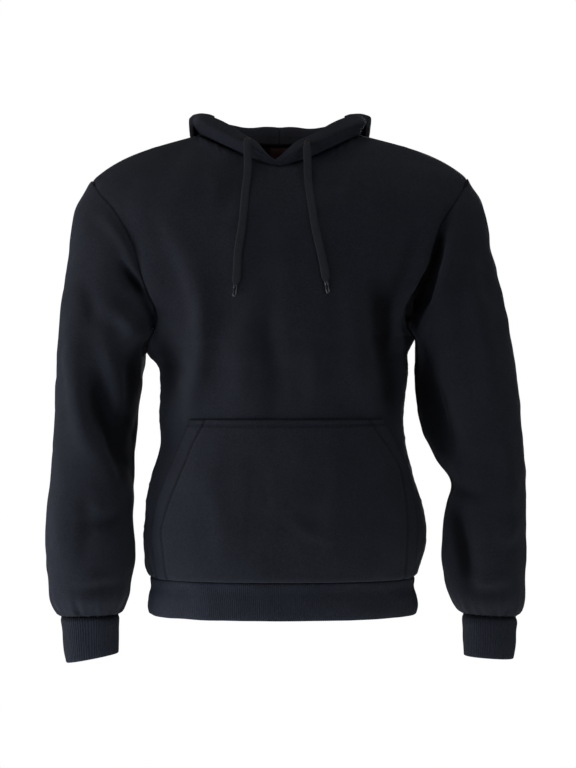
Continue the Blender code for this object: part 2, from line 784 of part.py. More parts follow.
def finish(piece, looks, collection):
    """Gives a piece its own material, shades it smooth and puts it in the collection."""
    colour, roughness, metallic = looks
    material = bpy.data.materials.new(piece.name)
    material.use_nodes = True
    shader = material.node_tree.nodes["Principled BSDF"]
    shader.inputs["Base Color"].default_value = (*colour, 1)
    shader.inputs["Roughness"].default_value = roughness
    shader.inputs["Metallic"].default_value = metallic
    piece.data.materials.append(material)
    for other in list(piece.users_collection):
        other.objects.unlink(piece)
    collection.objects.link(piece)
    if piece.type == "MESH":
        piece.data.shade_smooth()
    return piece


# Cord, eyelets and tips


def cord(name, route, collection):
    """A flat cord: a poly curve with a rounded strip's section, narrow where it leaves its eyelet."""
    points = along_line(np.array(route) * MM, CORD_POINTS)
    curve = bpy.data.curves.new(name, "CURVE")
    curve.dimensions = "3D"
    curve.twist_mode = "MINIMUM"
    curve.extrude = (CORD_WIDE - CORD_THICK) / 2
    curve.bevel_depth = CORD_THICK / 2
    curve.bevel_resolution = 2
    curve.use_fill_caps = True
    spline = curve.splines.new("POLY")
    spline.points.add(len(points) - 1)
    for i, (point, place) in enumerate(zip(spline.points, points)):
        from_end = min(i, len(points) - 1 - i)
        point.co = (*place, 1)
        point.radius = CORD_END_SHARE + (1 - CORD_END_SHARE) * min(from_end / CORD_NARROW_POINTS, 1)
        point.tilt = CORD_TILT
    return finish(bpy.data.objects.new(name, curve), CORD_CLOTH, collection)


def place_on_hood(points, angle, share):
    """The point and the outward normal of the hood's face at an angle and a share of the meridian."""
    normals = grid_normals(points, False)
    i = (1 - angle / 180) * (len(points) - 1) if points[0, 0, 1] > 0 else angle / 180 * (len(points) - 1)
    j = share * (points.shape[1] - 1)
    low_i, low_j = int(i), int(j)
    part_i, part_j = i - low_i, j - low_j
    mixed = []
    for grid in (points, normals):
        near = grid[low_i, low_j] * (1 - part_j) + grid[low_i, low_j + 1] * part_j
        far = grid[low_i + 1, low_j] * (1 - part_j) + grid[low_i + 1, low_j + 1] * part_j
        mixed.append(near * (1 - part_i) + far * part_i)
    return mixed[0], unit(mixed[1])


def eyelet(name, hood_points, angle, share, collection):
    """A small metal ring standing just off the hood's cloth."""
    place, normal = place_on_hood(hood_points, angle, share)
    bpy.ops.mesh.primitive_torus_add(
        major_radius=EYELET_RING,
        minor_radius=EYELET_WIRE,
        major_segments=EYELET_SEGMENTS,
        minor_segments=EYELET_WIRE_SEGMENTS,
    )
    piece = bpy.context.object
    piece.name = name
    facing = Vector(normal).to_track_quat("Z", "Y").to_matrix().to_4x4()
    piece.matrix_world = Matrix.Translation(Vector(place + normal * (EYELET_WIRE + EYELET_OFF))) @ facing
    return finish(piece, GUNMETAL, collection)


def cord_tip(name, route, collection):
    """A pinched metal tip that carries on the line of its cord."""
    end = Vector(route[-1]) * MM
    way = (end - Vector(route[-2]) * MM).normalized()
    bpy.ops.mesh.primitive_cylinder_add(vertices=TIP_SEGMENTS, radius=0.5, depth=TIP_LONG)
    piece = bpy.context.object
    piece.name = name
    piece.data.transform(Matrix.Diagonal((TIP_WIDE, TIP_THICK, 1, 1)))
    out = way.cross(Vector((1, 0, 0))).normalized()
    across = out.cross(way).normalized()
    turn = Matrix((across, out, way)).transposed().to_4x4()
    piece.matrix_world = Matrix.Translation(end + way * (TIP_LONG / 2 + TIP_GAP)) @ turn
    return finish(piece, STEEL, collection)


# The whole garment


def neckline(side, front, back):
    """The neck seam's points on one side, from the middle of the front to the middle of the back."""
    middle = SHOULDER_COLUMNS + NECK_COLUMNS // 2
    point = SHOULDER_COLUMNS + NECK_COLUMNS
    if side == LEFT:
        return np.concatenate([front[-1, middle : point + 1], back[-1, SHOULDER_COLUMNS + 1 : middle + 1]])
    over_front = front[-1, SHOULDER_COLUMNS : middle + 1][::-1]
    return np.concatenate([over_front, back[-1, middle:point][::-1]])


def armhole(side, front, back):
    """The armhole seam's points: the shoulder tip, down the front, the underarm, up the back."""
    front_end, back_end = (0, -1) if side == RIGHT else (-1, 0)
    over_front = front[SIDE_ROWS - 1 :, front_end][::-1]
    return np.concatenate([over_front, back[SIDE_ROWS:-1, back_end]])


def build():
    """Cuts and joins every piece."""
    for item in list(bpy.data.objects):
        bpy.data.objects.remove(item, do_unlink=True)
    collection = bpy.data.collections.new(NAME)
    bpy.context.scene.collection.children.link(collection)

    front, back = panel(FRONT), panel(BACK)
    hem = np.concatenate([front[0], back[0, 1:-1]])
    body = tree_of(front, back)
    cloth = {
        "front": (front, FLEECE, False),
        "back": (back, FLEECE, False),
        "waistband": (waistband(hem), RIB_DOUBLED, True),
    }
    for side, word in ((RIGHT, "right"), (LEFT, "left")):
        tube = sleeve(side, armhole(side, front, back))
        cloth["sleeve_" + word] = (tube, FLEECE, True)
        cloth["cuff_" + word] = (cuff(side, facing_out(tube, side)[-1]), RIB_DOUBLED, True)
        cloth["hood_" + word] = (*hood(side, neckline(side, front, back), body), False)

    normals = {name: grid_normals(points, closed) for name, (points, _, closed) in cloth.items()}
    share_normals([(cloth[name][0], normals[name]) for name in cloth])
    for name, (points, thick, closed) in cloth.items():
        wall(name, points, normals[name], thick, closed, CLOTH, collection)

    over = pocket()
    wall("pocket", over, grid_normals(over, False), FLEECE, False, CLOTH, collection)
    tab = label(back - normals["back"] * FLEECE)
    wall("neck_label", tab, grid_normals(tab, False), LABEL_CLOTH, False, LABEL_RED, collection)
    for side, word in ((RIGHT, "right"), (LEFT, "left")):
        eyelet("eyelet_" + word, cloth["hood_" + word][0], *EYELETS[side], collection)
        cord("cord_" + word, CORD_ROUTES[side], collection)
        cord_tip("tip_" + word, CORD_ROUTES[side], collection)


build()
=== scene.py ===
"""Looks of the pullover hoodie.

Each CAD solid is replaced by a thin shell of cloth on its own form, with folds, seams, stitches and rib. The
drawcord, its tips and its eyelets are made in detail. Metres, +Z up, the front faces -Y. Right and left are
the wearer's: right is -X and left is +X. Tables are in millimetres.
"""

import math

import bmesh
import bpy
import numpy as np
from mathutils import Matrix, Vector
from mathutils.bvhtree import BVHTree


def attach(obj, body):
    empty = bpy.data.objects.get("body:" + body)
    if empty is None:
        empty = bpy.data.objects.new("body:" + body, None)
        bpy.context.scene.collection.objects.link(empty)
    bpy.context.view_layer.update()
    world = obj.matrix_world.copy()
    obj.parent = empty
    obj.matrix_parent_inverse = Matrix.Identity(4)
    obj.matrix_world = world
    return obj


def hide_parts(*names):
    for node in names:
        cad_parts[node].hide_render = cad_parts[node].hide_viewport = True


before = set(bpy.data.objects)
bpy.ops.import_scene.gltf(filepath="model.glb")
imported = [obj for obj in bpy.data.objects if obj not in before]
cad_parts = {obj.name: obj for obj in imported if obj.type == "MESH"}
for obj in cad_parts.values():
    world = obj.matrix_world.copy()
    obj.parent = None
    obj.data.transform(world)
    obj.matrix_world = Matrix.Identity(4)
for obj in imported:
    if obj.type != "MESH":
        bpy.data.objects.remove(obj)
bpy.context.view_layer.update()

MM = 0.001
RIGHT, LEFT = 0, 1
WORDS = ("right", "left")
FRONT, BACK = -1, 1

# How many steps of a shell lie in one step of the solid's grid
FINE = 6
SIDE_ROWS = 13
UNDERARM_ROWS = 4
ARMHOLE_ROWS = 10
SHOULDER_COLUMNS = 7
NECK_COLUMNS = 16
SLEEVE_RINGS = 22
HOOD_ROWS = 16

FLEECE = 2.2 * MM
RIB_DOUBLED = 3.8 * MM
HOOD_DOUBLED = 3.4 * MM
CASING = 5.0 * MM
SEAM_HALF_GAP = 0.003 * MM
SAME_PLACE = 0.005 * MM
FOLD_LINES = (0.15 * MM, 0.6 * MM, 1.4 * MM)
SEAM_LINES = (0.5 * MM, 1.1 * MM, 1.9 * MM, 2.9 * MM)

# The garment's form, as in the solids
HEM_SEAM = -588 * MM
HEM_EDGE = -638 * MM
NECK_SHARE = 0.44
NECK_POINT_UP = 8 * MM
FRONT_NECK_UP = -42 * MM
BACK_NECK_UP = -2 * MM
NECK_DEPTH = {FRONT: 78 * MM, BACK: 68 * MM}
NECKLINE_POWER = {FRONT: 1.35, BACK: 2.0}
SHOULDER_ROLL = 85 * MM
SHOULDER_ROLL_POWER = 0.6
SHOULDER_STRAIGHT = 0.62
SHOULDER_BEND = 4
NECK_EVEN = 0.15
NECK_CORNER_WIDE = 0.34
NECK_CORNER_FADE = 22 * MM
NECK_CORNER_SOFT = 0.11
SHOULDER_TIP = ((-259 * MM, -54 * MM), (250 * MM, -51 * MM))


def table(columns, *rows):
    """A short table written in millimetres, as named columns in metres."""
    return {name: np.array([row[i] for row in rows]) * MM for i, name in enumerate(columns.split())}


SIDES = table(
    "up right left",
    (-591, 180, 178),
    (-567, 186, 186),
    (-540, 189, 193),
    (-513, 187, 192),
    (-486, 185, 186),
    (-459, 180, 178),
    (-432, 171, 170),
    (-405, 164, 165),
    (-378, 166, 162),
    (-351, 166, 165),
    (-324, 165, 168),
    (-304, 170, 169),
    (-288, 184, 168),
    (-268, 184, 178),
)
DEPTHS = table(
    "up front back",
    (-591, 121, 121),
    (-540, 122, 122),
    (-480, 117, 114),
    (-400, 112, 100),
    (-330, 115, 106),
    (-250, 121, 120),
    (-180, 119, 125),
    (-130, 111, 120),
    (-90, 101, 110),
    (-50, 88, 96),
    (-20, 78, 84),
    (14, 70, 70),
)
# How round a panel is across its width where it hangs and where the shoulders hold it: power and fullness
HUNG_POWERS = (2.5, 1 / 2.2)
HELD_POWERS = (2.3, 0.95)
HELD_FROM = -50 * MM
HELD_TO = 90 * MM
UNDERARM_BAND = 60 * MM
YOKE_POWER = 1.3
ARMHOLES = (
    table(
        "up front_across front_out back_across back_out",
        (-288, 184, 0, 184, 0),
        (-275, 180, 35, 181, 36),
        (-253, 170, 60, 177, 62),
        (-232, 169, 70, 177, 74),
        (-212, 178, 74, 181, 80),
        (-180, 188, 75, 189, 84),
        (-148, 197, 75, 199, 85),
        (-119, 211, 74, 213, 84),
        (-94, 227, 70, 229, 80),
        (-75, 244, 66, 245, 74),
        (-54, 259, 62, 259, 68),
    ),
    table(
        "up front_across front_out back_across back_out",
        (-268, 178, 0, 178, 0),
        (-260, 171, 33, 173, 34),
        (-245, 164, 56, 169, 60),
        (-222, 168, 68, 170, 74),
        (-201, 184, 73, 178, 80),
        (-175, 194, 75, 188, 84),
        (-143, 203, 75, 200, 85),
        (-115, 212, 74, 212, 84),
        (-94, 225, 70, 226, 80),
        (-75, 238, 66, 240, 74),
        (-51, 250, 62, 250, 68),
    ),
)
SLEEVES = (
    table(
        "outer_across outer_up inner_across inner_up half_depth middle",
        (259, -54, 184, -288, 78, 0),
        (278, -88, 188, -292, 79, 0),
        (289, -150, 187, -306, 79, -2),
        (298, -215, 190, -330, 77, -4),
        (303, -275, 194, -361, 75, -7),
        (306, -335, 197, -396, 71, -11),
        (308, -395, 199, -436, 67, -16),
        (311, -450, 200, -478, 63, -22),
        (316, -505, 200, -519, 60, -28),
        (317, -552, 197, -558, 57, -33),
        (314, -592, 203, -592, 52, -36),
        (309, -620, 208, -618, 44, -38),
        (299, -640, 216, -637, 27, -39),
    ),
    table(
        "outer_across outer_up inner_across inner_up half_depth middle",
        (250, -51, 178, -268, 78, 0),
        (269, -84, 182, -273, 79, 0),
        (282, -148, 181, -290, 79, -2),
        (294, -205, 178, -320, 78, -5),
        (305, -260, 180, -356, 77, -8),
        (314, -315, 188, -394, 75, -12),
        (320, -380, 206, -430, 70, -16),
        (325, -440, 226, -464, 64, -21),
        (325, -495, 216, -502, 60, -27),
        (325, -548, 212, -550, 57, -32),
        (323, -592, 216, -592, 52, -35),
        (322, -618, 225, -616, 44, -37),
        (314, -640, 237, -636, 27, -38),
    ),
)
SLEEVE_SQUARENESS = 0.9
SLEEVE_ARMHOLE_SHARE = 0.34
SLEEVE_FREE = (0.05, 0.96)
CUFFS = (
    table(
        "outer_across outer_up inner_across inner_up half_depth middle",
        (299, -640, 216, -637, 27, -39),
        (295, -655, 218, -649, 26, -40),
        (293, -675, 219, -667, 26, -41),
        (290, -700, 220, -687, 26, -42),
    ),
    table(
        "outer_across outer_up inner_across inner_up half_depth middle",
        (314, -640, 237, -636, 27, -38),
        (312, -655, 239, -652, 26, -39),
        (310, -675, 240, -672, 26, -40),
        (306, -695, 240, -690, 26, -41),
    ),
)
WAISTBAND = table(
    "up wider",
    (-638, 0.995),
    (-630, 1.008),
    (-614, 1.004),
    (-599, 0.985),
    (-588, 1.0),
)
# The hood's form at angles round the neck from front to back, and how each meridian turns, rolls and falls
HOOD_ANGLES = (0, 15, 30, 60, 75, 90, 105, 120, 135, 155, 180)
HOOD_TURNS = (0, 15, 30, 60, 76, 96, 122, 145, 160, 171, 180)
HOOD_ROLLS = (0, 0, 0, 4, 20, 50, 95, 135, 150, 150, 150)
HOOD_POUCHES = (0, 0, 0, 0, 0, 0.02, 0.12, 0.42, 0.75, 0.95, 1)
HOOD_DROPS = (0, 0, 0, 0, 0, 0, 0.09, 0.32, 0.66, 0.94, 1)
HOOD_BAND = table(
    "rise bulge crest",
    (10, 1, 0),
    (27, 9, -3),
    (30, 11, -5),
    (31, 11, -5),
    (28, 9, -1),
    (23, 7, 5),
    (23, 5, 8),
    (28, 4, 7),
    (30, 4, 7),
    (27, 3, 8),
    (23, 3, 8),
)
HOOD_ROLL_ROUND = 7.5 * MM
# The standing band's line: shares of its bulge, of its crest and of its rise
HOOD_STAND = ((0, 0, 0), (0.5, 0, 0.25), (1, 0, 0.6), (0.3, 0.7, 0.92), (0, 1, 1))
# The fallen pouch's line, outward and up from the neck seam
POUCH = table("out up", (22, 20), (32, 2), (44, -60), (58, -140), (76, -172), (96, -146), (104, -80), (90, 5))
HOOD_V_SHIFT = -6 * MM
HOOD_V_SPREAD = 25
HOOD_OFF_BODY = 6.5 * MM
HOOD_SETTLINGS = 72
HOOD_SOFTENINGS = 30

# The angles between which the hood is settled and softened: two to rise from and to, two to fall from and to
HOOD_SETTLED = (70, 85, 135, 165)
HOOD_SOFTENED = (62, 85, 150, 172)
HOOD_POUCH_FROM = 80
HOOD_CREST_ROUND = 14 * MM
HOOD_LEAST_ROLL = 3
HOOD_THIN_SHARE = 0.25
CASING_WIDE = 28 * MM
CASING_STEP = 0.6
POCKET = table(
    "up right left",
    (-588, 166, 171),
    (-552, 171, 175),
    (-516, 171, 176),
    (-482, 163, 172),
    (-436, 146, 162),
    (-405, 134, 147),
    (-375, 122, 130),
)
POCKET_TOP = -375 * MM
POCKET_BOTTOM = -587.4 * MM


# Folds. Each row: height, width, how much steeper its right side is, and points across and up. A height
# below 0 is a trough. Right of a fold is right of the way that its points run, seen from in front.
FRONT_FOLDS = (
    (9, 18, 0.3, ((-154, -108), (-124, -172), (-109, -245), (-112, -285), (-129, -358), (-137, -389))),
    (4, 11, 0.3, ((-112, -206), (-107, -244), (-108, -285), (-117, -330), (-128, -372))),
    (5, 16, 0, ((-196, -148), (-172, -200), (-147, -248))),
    (-7, 17, 0, ((-160, -262), (-150, -310), (-152, -350))),
    (-12, 18, 0.2, ((120, -190), (128, -245), (133, -285), (139, -337), (146, -376))),
    (6, 18, 0, ((88, -190), (94, -250), (98, -310), (104, -350))),
    (4, 14, 0.2, ((168, -248), (152, -262), (138, -290), (133, -330))),
    (-3, 15, 0, ((-14, -200), (-20, -262), (-10, -330), (-16, -372))),
    (3, 18, 0, ((-64, -250), (-56, -310), (-62, -366))),
    (3, 16, 0, ((34, -262), (42, -312), (38, -366))),
    (2, 13, 0, ((-96, -44), (-86, -66), (-92, -96))),
    (-1.6, 12, 0, ((-74, -42), (-68, -64), (-72, -88))),
    (3, 12, 0, ((92, -44), (84, -74), (92, -108))),
    (6, 9, 0, ((206, -124), (190, -166), (174, -198), (156, -222), (150, -250))),
    (-4, 12, 0, ((172, -130), (160, -170), (146, -205), (134, -236))),
    (3, 9, 0, ((-160, -400), (-168, -440), (-176, -486))),
    (-3, 9, 0, ((172, -420), (180, -470), (186, -520))),
)
POCKET_FOLDS = (
    (2.5, 16, 0, ((-84, -400), (-92, -460), (-80, -520), (-88, -570))),
    (-2.5, 15, 0, ((-40, -420), (-30, -480), (-42, -550))),
    (2.5, 17, 0, ((60, -396), (70, -450), (62, -520), (72, -572))),
    (-2.5, 14, 0, ((112, -430), (120, -480), (112, -540))),
    (2, 10, 0, ((10, -500), (30, -520), (60, -530))),
)
BACK_FOLDS = (
    (8, 24, 0, ((-150, -160), (-128, -240), (-120, -330), (-132, -410))),
    (-4.5, 24, 0, ((-62, -270), (-50, -350), (-58, -430))),
    (8, 24, 0, ((146, -170), (122, -250), (112, -340), (126, -420))),
    (-4.5, 25, 0, ((20, -300), (34, -380), (26, -470))),
    (5, 14, 0.3, ((-176, -236), (-140, -270), (-92, -290), (-40, -296))),
    (5, 14, -0.3, ((172, -222), (130, -262), (84, -280), (34, -284))),
    (4, 12, 0, ((-160, -500), (-110, -522), (-50, -530), (10, -526))),
    (-4, 12, 0, ((-150, -474), (-100, -494), (-44, -502))),
    (4, 12, 0, ((160, -488), (110, -508), (60, -512))),
    (3, 14, 0, ((-20, -200), (-26, -250), (-14, -310))),
)
SLEEVE_FRONT_FOLDS = (
    (
        (-16, 18, 0.2, ((-248, -318), (-242, -358), (-226, -394), (-213, -430), (-204, -464))),
        (-9, 13, 0, ((-180, -268), (-196, -294), (-203, -340), (-201, -400), (-200, -446))),
        (8, 15, 0.1, ((-283, -230), (-281, -264), (-277, -308), (-268, -362), (-264, -390), (-248, -424))),
        (6, 13, 0, ((-196, -236), (-200, -262), (-214, -282))),
        (-4, 8, 0, ((-208, -180), (-200, -194), (-190, -205))),
        (-4, 11, 0, ((-266, -196), (-258, -218), (-252, -240))),
        (6, 13, 0, ((-238, -262), (-226, -300), (-216, -336), (-210, -366))),
        (-3, 9, 0, ((-272, -606), (-244, -600), (-214, -596))),
        (3, 9, 0, ((-276, -590), (-246, -584), (-216, -580))),
        (4, 14, 0, ((-290, -440), (-296, -500), (-290, -560))),
        (-3, 12, 0, ((-262, -470), (-258, -520), (-264, -566))),
        (3, 11, 0.2, ((-212, -470), (-226, -486), (-250, -494))),
        (-3, 10, 0, ((-208, -492), (-224, -508), (-248, -514))),
    ),
    (
        (-13, 20, 0, ((184, -276), (187, -320), (196, -372), (208, -410), (222, -446))),
        (-9, 10, 0, ((207, -136), (200, -172), (189, -203), (178, -232))),
        (6, 13, 0, ((222, -100), (220, -150), (214, -200), (208, -250))),
        (7, 16, 0, ((250, -180), (264, -260), (276, -350))),
        (-11, 13, 0, ((226, -480), (231, -512), (238, -552), (244, -604))),
        (5, 10, 0.2, ((306, -512), (300, -524), (288, -536))),
        (-3, 10, 0, ((272, -168), (270, -190), (270, -216))),
        (-4, 9, 0, ((224, -462), (240, -474), (262, -478))),
        (5, 11, 0, ((226, -444), (246, -452), (270, -450))),
        (4, 14, 0, ((292, -400), (300, -450), (298, -500))),
        (-3, 9, 0, ((246, -604), (272, -606), (298, -600))),
        (3, 9, 0, ((244, -586), (272, -588), (300, -582))),
    ),
)
SLEEVE_BACK_FOLDS = (
    (
        (-6.5, 19, 0, ((-262, -352), (-232, -392), (-222, -440))),
        (8, 17, 0, ((-246, -250), (-262, -330), (-270, -420))),
        (5, 12, 0.2, ((-300, -420), (-270, -436), (-236, -438))),
        (-5, 12, 0, ((-304, -446), (-272, -460), (-238, -462))),
        (5, 12, 0.2, ((-306, -474), (-276, -486), (-240, -484))),
        (-3, 9, 0, ((-296, -600), (-262, -604), (-226, -598))),
        (5, 12, 0, ((-200, -230), (-216, -262), (-240, -282))),
    ),
    (
        (-6.5, 19, 0, ((276, -352), (246, -396), (236, -440))),
        (8, 17, 0, ((250, -250), (268, -330), (282, -430))),
        (5, 12, 0.2, ((312, -430), (284, -444), (246, -444))),
        (-5, 12, 0, ((314, -456), (286, -470), (248, -470))),
        (5, 12, 0.2, ((316, -486), (288, -498), (250, -494))),
        (-3, 9, 0, ((304, -602), (270, -606), (236, -600))),
        (5, 12, 0, ((196, -216), (212, -250), (238, -272))),
    ),
)
# Creases seen from in front and from behind, that run on over the seams
CREASES_FRONT = (
    (-10, 8, 0, ((222, -100), (210, -134), (201, -172), (189, -203), (178, -228))),
    (-15, 11, 0, ((196, -186), (186, -210), (175, -232), (169, -252), (166, -270))),
    (4, 10, 0, ((222, -130), (216, -168), (206, -205), (196, -240))),
    (-6, 6, 0.2, ((-212, -168), (-203, -184), (-192, -199), (-180, -214))),
    (-5, 6, 0, ((-194, -202), (-181, -220), (-171, -242), (-168, -268))),
    (6, 13, 0, ((-232, -226), (-212, -240), (-190, -262))),
    (5, 9, 0, ((-246, -100), (-226, -120), (-206, -150), (-196, -185))),
    (-11, 14, 0, ((180, -276), (190, -318), (204, -364), (220, -410))),
)
CREASES_BACK = (
    (-6, 8, 0, ((-214, -120), (-206, -160), (-194, -200), (-180, -240))),
    (-6, 8, 0, ((208, -120), (200, -160), (188, -198), (178, -236))),
    (4, 12, 0, ((-240, -110), (-226, -160), (-216, -220))),
    (4, 12, 0, ((236, -110), (222, -160), (212, -220))),
)
HOOD_FRONT_FOLDS = (
    (1.2, 8, 0, ((-92, 24), (-70, 10), (-50, -4))),
    (1.2, 8, 0, ((88, 26), (64, 10), (42, -6))),
)
HOOD_BACK_FOLDS = (
    (4, 13, 0.2, ((-96, 10), (-70, -30), (-40, -62), (-6, -84))),
    (-3, 12, 0, ((-84, -20), (-60, -60), (-30, -92))),
    (4, 13, -0.2, ((98, 6), (74, -34), (44, -66), (12, -90))),
    (-3, 12, 0, ((84, -26), (60, -66), (34, -98))),
    (3, 11, 0, ((-44, -116), (-8, -134), (34, -128))),
    (-2.5, 12, 0, ((-36, 0), (-30, -30), (-36, -60))),
    (3, 12, 0, ((30, -4), (36, -34), (28, -60))),
)

# How a fold fades at its ends and at a panel's sides, and the shallow dip beside its ridge
FOLD_END = 0.02
FOLD_END_POWER = 0.7
FOLD_DIP = 0.28
FOLD_DIP_WIDE = 2.2
FOLD_STEPS = 36
FOLD_SIDE_POWER = 10

CURVE_STEPS = 40
MOST_OF_STEP = 0.9
MOST_OF_FOLD = 0.985
TINY = 1e-12
FULL_TURN = 6.28

# Swells, gathers, creases and wear
SWELL = 0.8 * MM
SWELL_SIZE = 55 * MM
SWELL_SEED = 5
SWELL_WAVES = 14
SWELL_RANGE = (0.7, 1.5)
SWELL_FROM = 10 * MM
# How much finer and how much lower the small swells are, and their seed
SMALL_SWELL = (2.4, 0.35, 6)
PUCKER_FROM = 7 * MM
PUCKER_FADE = 1.5
PUCKER_WAVES = (0.6, 0.85, 1.1, 1.35, 1.6)
CREASE_FACING = 0.6
WORN_WIDE = 5 * MM

# A seam's groove: shares of the soft and the narrow dip, and how much narrower that one is
GROOVE = (0.55, 0.45, 3.2)
# How deep and wide the seams are drawn in
SEAM_DIP = (1.6 * MM, 4.5 * MM)
GATHERED_DIP = (3.4 * MM, 7.5 * MM)
HEM_DIP = (2.6 * MM, 4.2 * MM)
FLAT_DIP = (0.5 * MM, 3.5 * MM)

# How deep a fold or seam is where the shade painted into its colour is darkest, and how much darker that
# painted shade makes it
SHADE_FULL_DEPTH = 8 * MM
SHADE_DEPTH_POWER = 1.25
SEAM_SHADE_FULL_DEPTH = 2.6 * MM
SEAM_SHADE_WIDE = 0.42
PAINTED_SHADE_DARK = 0.78

# Pocket, rib and label
POCKET_CLOTH = 2.2 * MM
POCKET_COLUMNS = 151
POCKET_ROWS = 145
POCKET_EVEN = 0.2
POCKET_OFF = 0.4 * MM
POCKET_LEAST_FOLD = -1.5 * MM
POCKET_SWELL_FROM = 12 * MM
# How far the pocket stands out at mid height, and the power of that curve
POCKET_BELLY = (1.8 * MM, 0.7)
# Where the pocket's hems are sewn, and how deep and wide the sewing draws it down
POCKET_HEMS = (("last_row", 9 * MM), ("first_column", 24 * MM), ("last_column", 24 * MM))
SEWN_DOWN = (0.9 * MM, 2.0 * MM)
# How wide the shade painted along the pocket's edges is, and how strong against that along the lines of
# stitches
POCKET_EDGES = (("last_row", 2.0 * MM), ("first_column", 2.4 * MM), ("last_column", 2.4 * MM))
POCKET_EDGE_SHADE = 1.8
POCKET_SHADE_STRENGTH = 0.5
BAND_COLUMNS = 1440
CUFF_COLUMNS = 384
RIB_ROWS = 26
RIBS = {"waistband": 360, "cuff_right": 78, "cuff_left": 78}
RIB_HEIGHT = 0.28 * MM
LABEL_CLOTH = 0.7 * MM
LABEL_WIDE = 36 * MM
LABEL_LONG = 20 * MM
LABEL_BELOW_SEAM = 3 * MM
LABEL_OFF = 0.5 * MM
LABEL_ROWS = 17
LABEL_COLUMNS = 29

# Gathers: their length, how far they reach from the seam and their height
ARM_PUCKER = (13 * MM, 11 * MM, 0.55 * MM)
HEM_PUCKER = (21 * MM, 24 * MM, 1.1 * MM)
CUFF_PUCKER = (17 * MM, 26 * MM, 1.5 * MM)
NECK_PUCKER = (13 * MM, 13 * MM, 0.8 * MM)
HOOD_PUCKER = (14 * MM, 8 * MM, 0.4 * MM)
ALL_EDGES = ("first_row", "last_row", "first_column", "last_column")
PANEL_DIPS = {"first_row": HEM_DIP, "last_row": SEAM_DIP, "first_column": SEAM_DIP, "last_column": SEAM_DIP}

# For each piece: how deep and wide its seams draw it in; its gathers' length, reach, height and seed
SEAMS = {
    "front": (
        PANEL_DIPS,
        {
            "first_row": (*HEM_PUCKER, 11),
            "first_column": (*ARM_PUCKER, 12),
            "last_column": (*ARM_PUCKER, 13),
            "last_row": (*NECK_PUCKER, 14),
        },
    ),
    "back": (
        PANEL_DIPS,
        {"first_row": (*HEM_PUCKER, 15), "first_column": (*ARM_PUCKER, 16), "last_column": (*ARM_PUCKER, 17)},
    ),
    "waistband": ({"last_row": HEM_DIP}, {}),
    "sleeve_right": (
        {"first_row": GATHERED_DIP, "last_row": SEAM_DIP},
        {"first_row": (*CUFF_PUCKER, 18), "last_row": (*ARM_PUCKER, 19)},
    ),
    "sleeve_left": (
        {"last_row": GATHERED_DIP, "first_row": SEAM_DIP},
        {"last_row": (*CUFF_PUCKER, 20), "first_row": (*ARM_PUCKER, 21)},
    ),
    "cuff_right": ({"last_row": GATHERED_DIP}, {}),
    "cuff_left": ({"first_row": GATHERED_DIP}, {}),
    "hood_right": ({"first_column": SEAM_DIP, "last_row": FLAT_DIP}, {"first_column": (*HOOD_PUCKER, 22)}),
    "hood_left": ({"first_column": SEAM_DIP, "first_row": FLAT_DIP}, {"first_column": (*HOOD_PUCKER, 23)}),
}

# The edges that get a few more lines for their seam, those that are folded, and those that wear
FINE_SEAMS = {
    "front": ("first_row",),
    "back": ("first_row",),
    "sleeve_right": ("first_row", "last_row"),
    "sleeve_left": ("first_row", "last_row"),
    "cuff_right": ("last_row",),
    "cuff_left": ("first_row",),
    "waistband": ("last_row",),
}
FOLDED = {
    "waistband": ("first_row",),
    "cuff_right": ("first_row",),
    "cuff_left": ("last_row",),
    "hood_right": ("last_column",),
    "hood_left": ("last_column",),
    "pocket": ("first_column", "last_column", "last_row"),
}
WORN = {
    "front": ALL_EDGES,
    "back": ALL_EDGES,
    "waistband": ("first_row", "last_row"),
    "sleeve_right": ("first_row", "last_row"),
    "sleeve_left": ("first_row", "last_row"),
    "cuff_right": ("first_row", "last_row"),
    "cuff_left": ("first_row", "last_row"),
    "hood_right": ("first_column", "last_column", "last_row"),
    "hood_left": ("first_column", "last_column", "first_row"),
    "pocket": ALL_EDGES,
}

# The rows of stitches that show: a piece, its edge, and how far in from that edge in millimetres
STITCHING = {
    "pocket": (
        ("pocket", "last_row", 2.0),
        ("pocket", "last_row", 9.0),
        ("pocket", "first_column", 24),
        ("pocket", "last_column", 24),
        ("pocket", "first_column", 2.5),
        ("pocket", "last_column", 2.5),
    ),
    "hem": (
        ("front", "first_row", 2.2),
        ("front", "first_row", 8.0),
        ("back", "first_row", 2.2),
        ("back", "first_row", 8.0),
    ),
    "cuff_right": (("sleeve_right", "first_row", 2.2), ("sleeve_right", "first_row", 7.5)),
    "hood_right": (("hood_right", "last_column", 26), ("hood_right", "first_column", 2.5)),
    "cuff_left": (("sleeve_left", "last_row", 2.2), ("sleeve_left", "last_row", 7.5)),
    "hood_left": (("hood_left", "last_column", 26), ("hood_left", "first_column", 2.5)),
}

# Sewing
STITCH_EVERY = 3.3 * MM
STITCH_LONG = 2.6 * MM
STITCH_RADIUS = 0.27 * MM
STITCH_SIDES = 5
STITCH_STEPS = (0.0, 0.3, 0.7, 1.0)
STITCH_ARCH = (-0.12 * MM, 0.2 * MM, 0.2 * MM, -0.12 * MM)

# Materials
NAVY = (0.0125, 0.0138, 0.0190)
NAVY_INSIDE = (0.0150, 0.0152, 0.0205)
NAVY_RIB = (0.0155, 0.0178, 0.0243)
NAVY_CORD = (0.0120, 0.0130, 0.0165)
THREAD_COLOUR = (0.0150, 0.0165, 0.0215)
RED = (0.044, 0.006, 0.006)
STEEL = (0.085, 0.085, 0.092)
GUNMETAL = (0.030, 0.027, 0.022)
# Nearly black, painted as the shadow inside the eyelets' holes
PAINTED_HOLE_SHADOW = (0.003, 0.003, 0.004)
FLOOR_GREY = (0.86, 0.86, 0.86)
WHITE = (1.0, 1.0, 1.0, 1.0)
SHEEN_TINT = (0.75, 0.80, 0.95, 1.0)

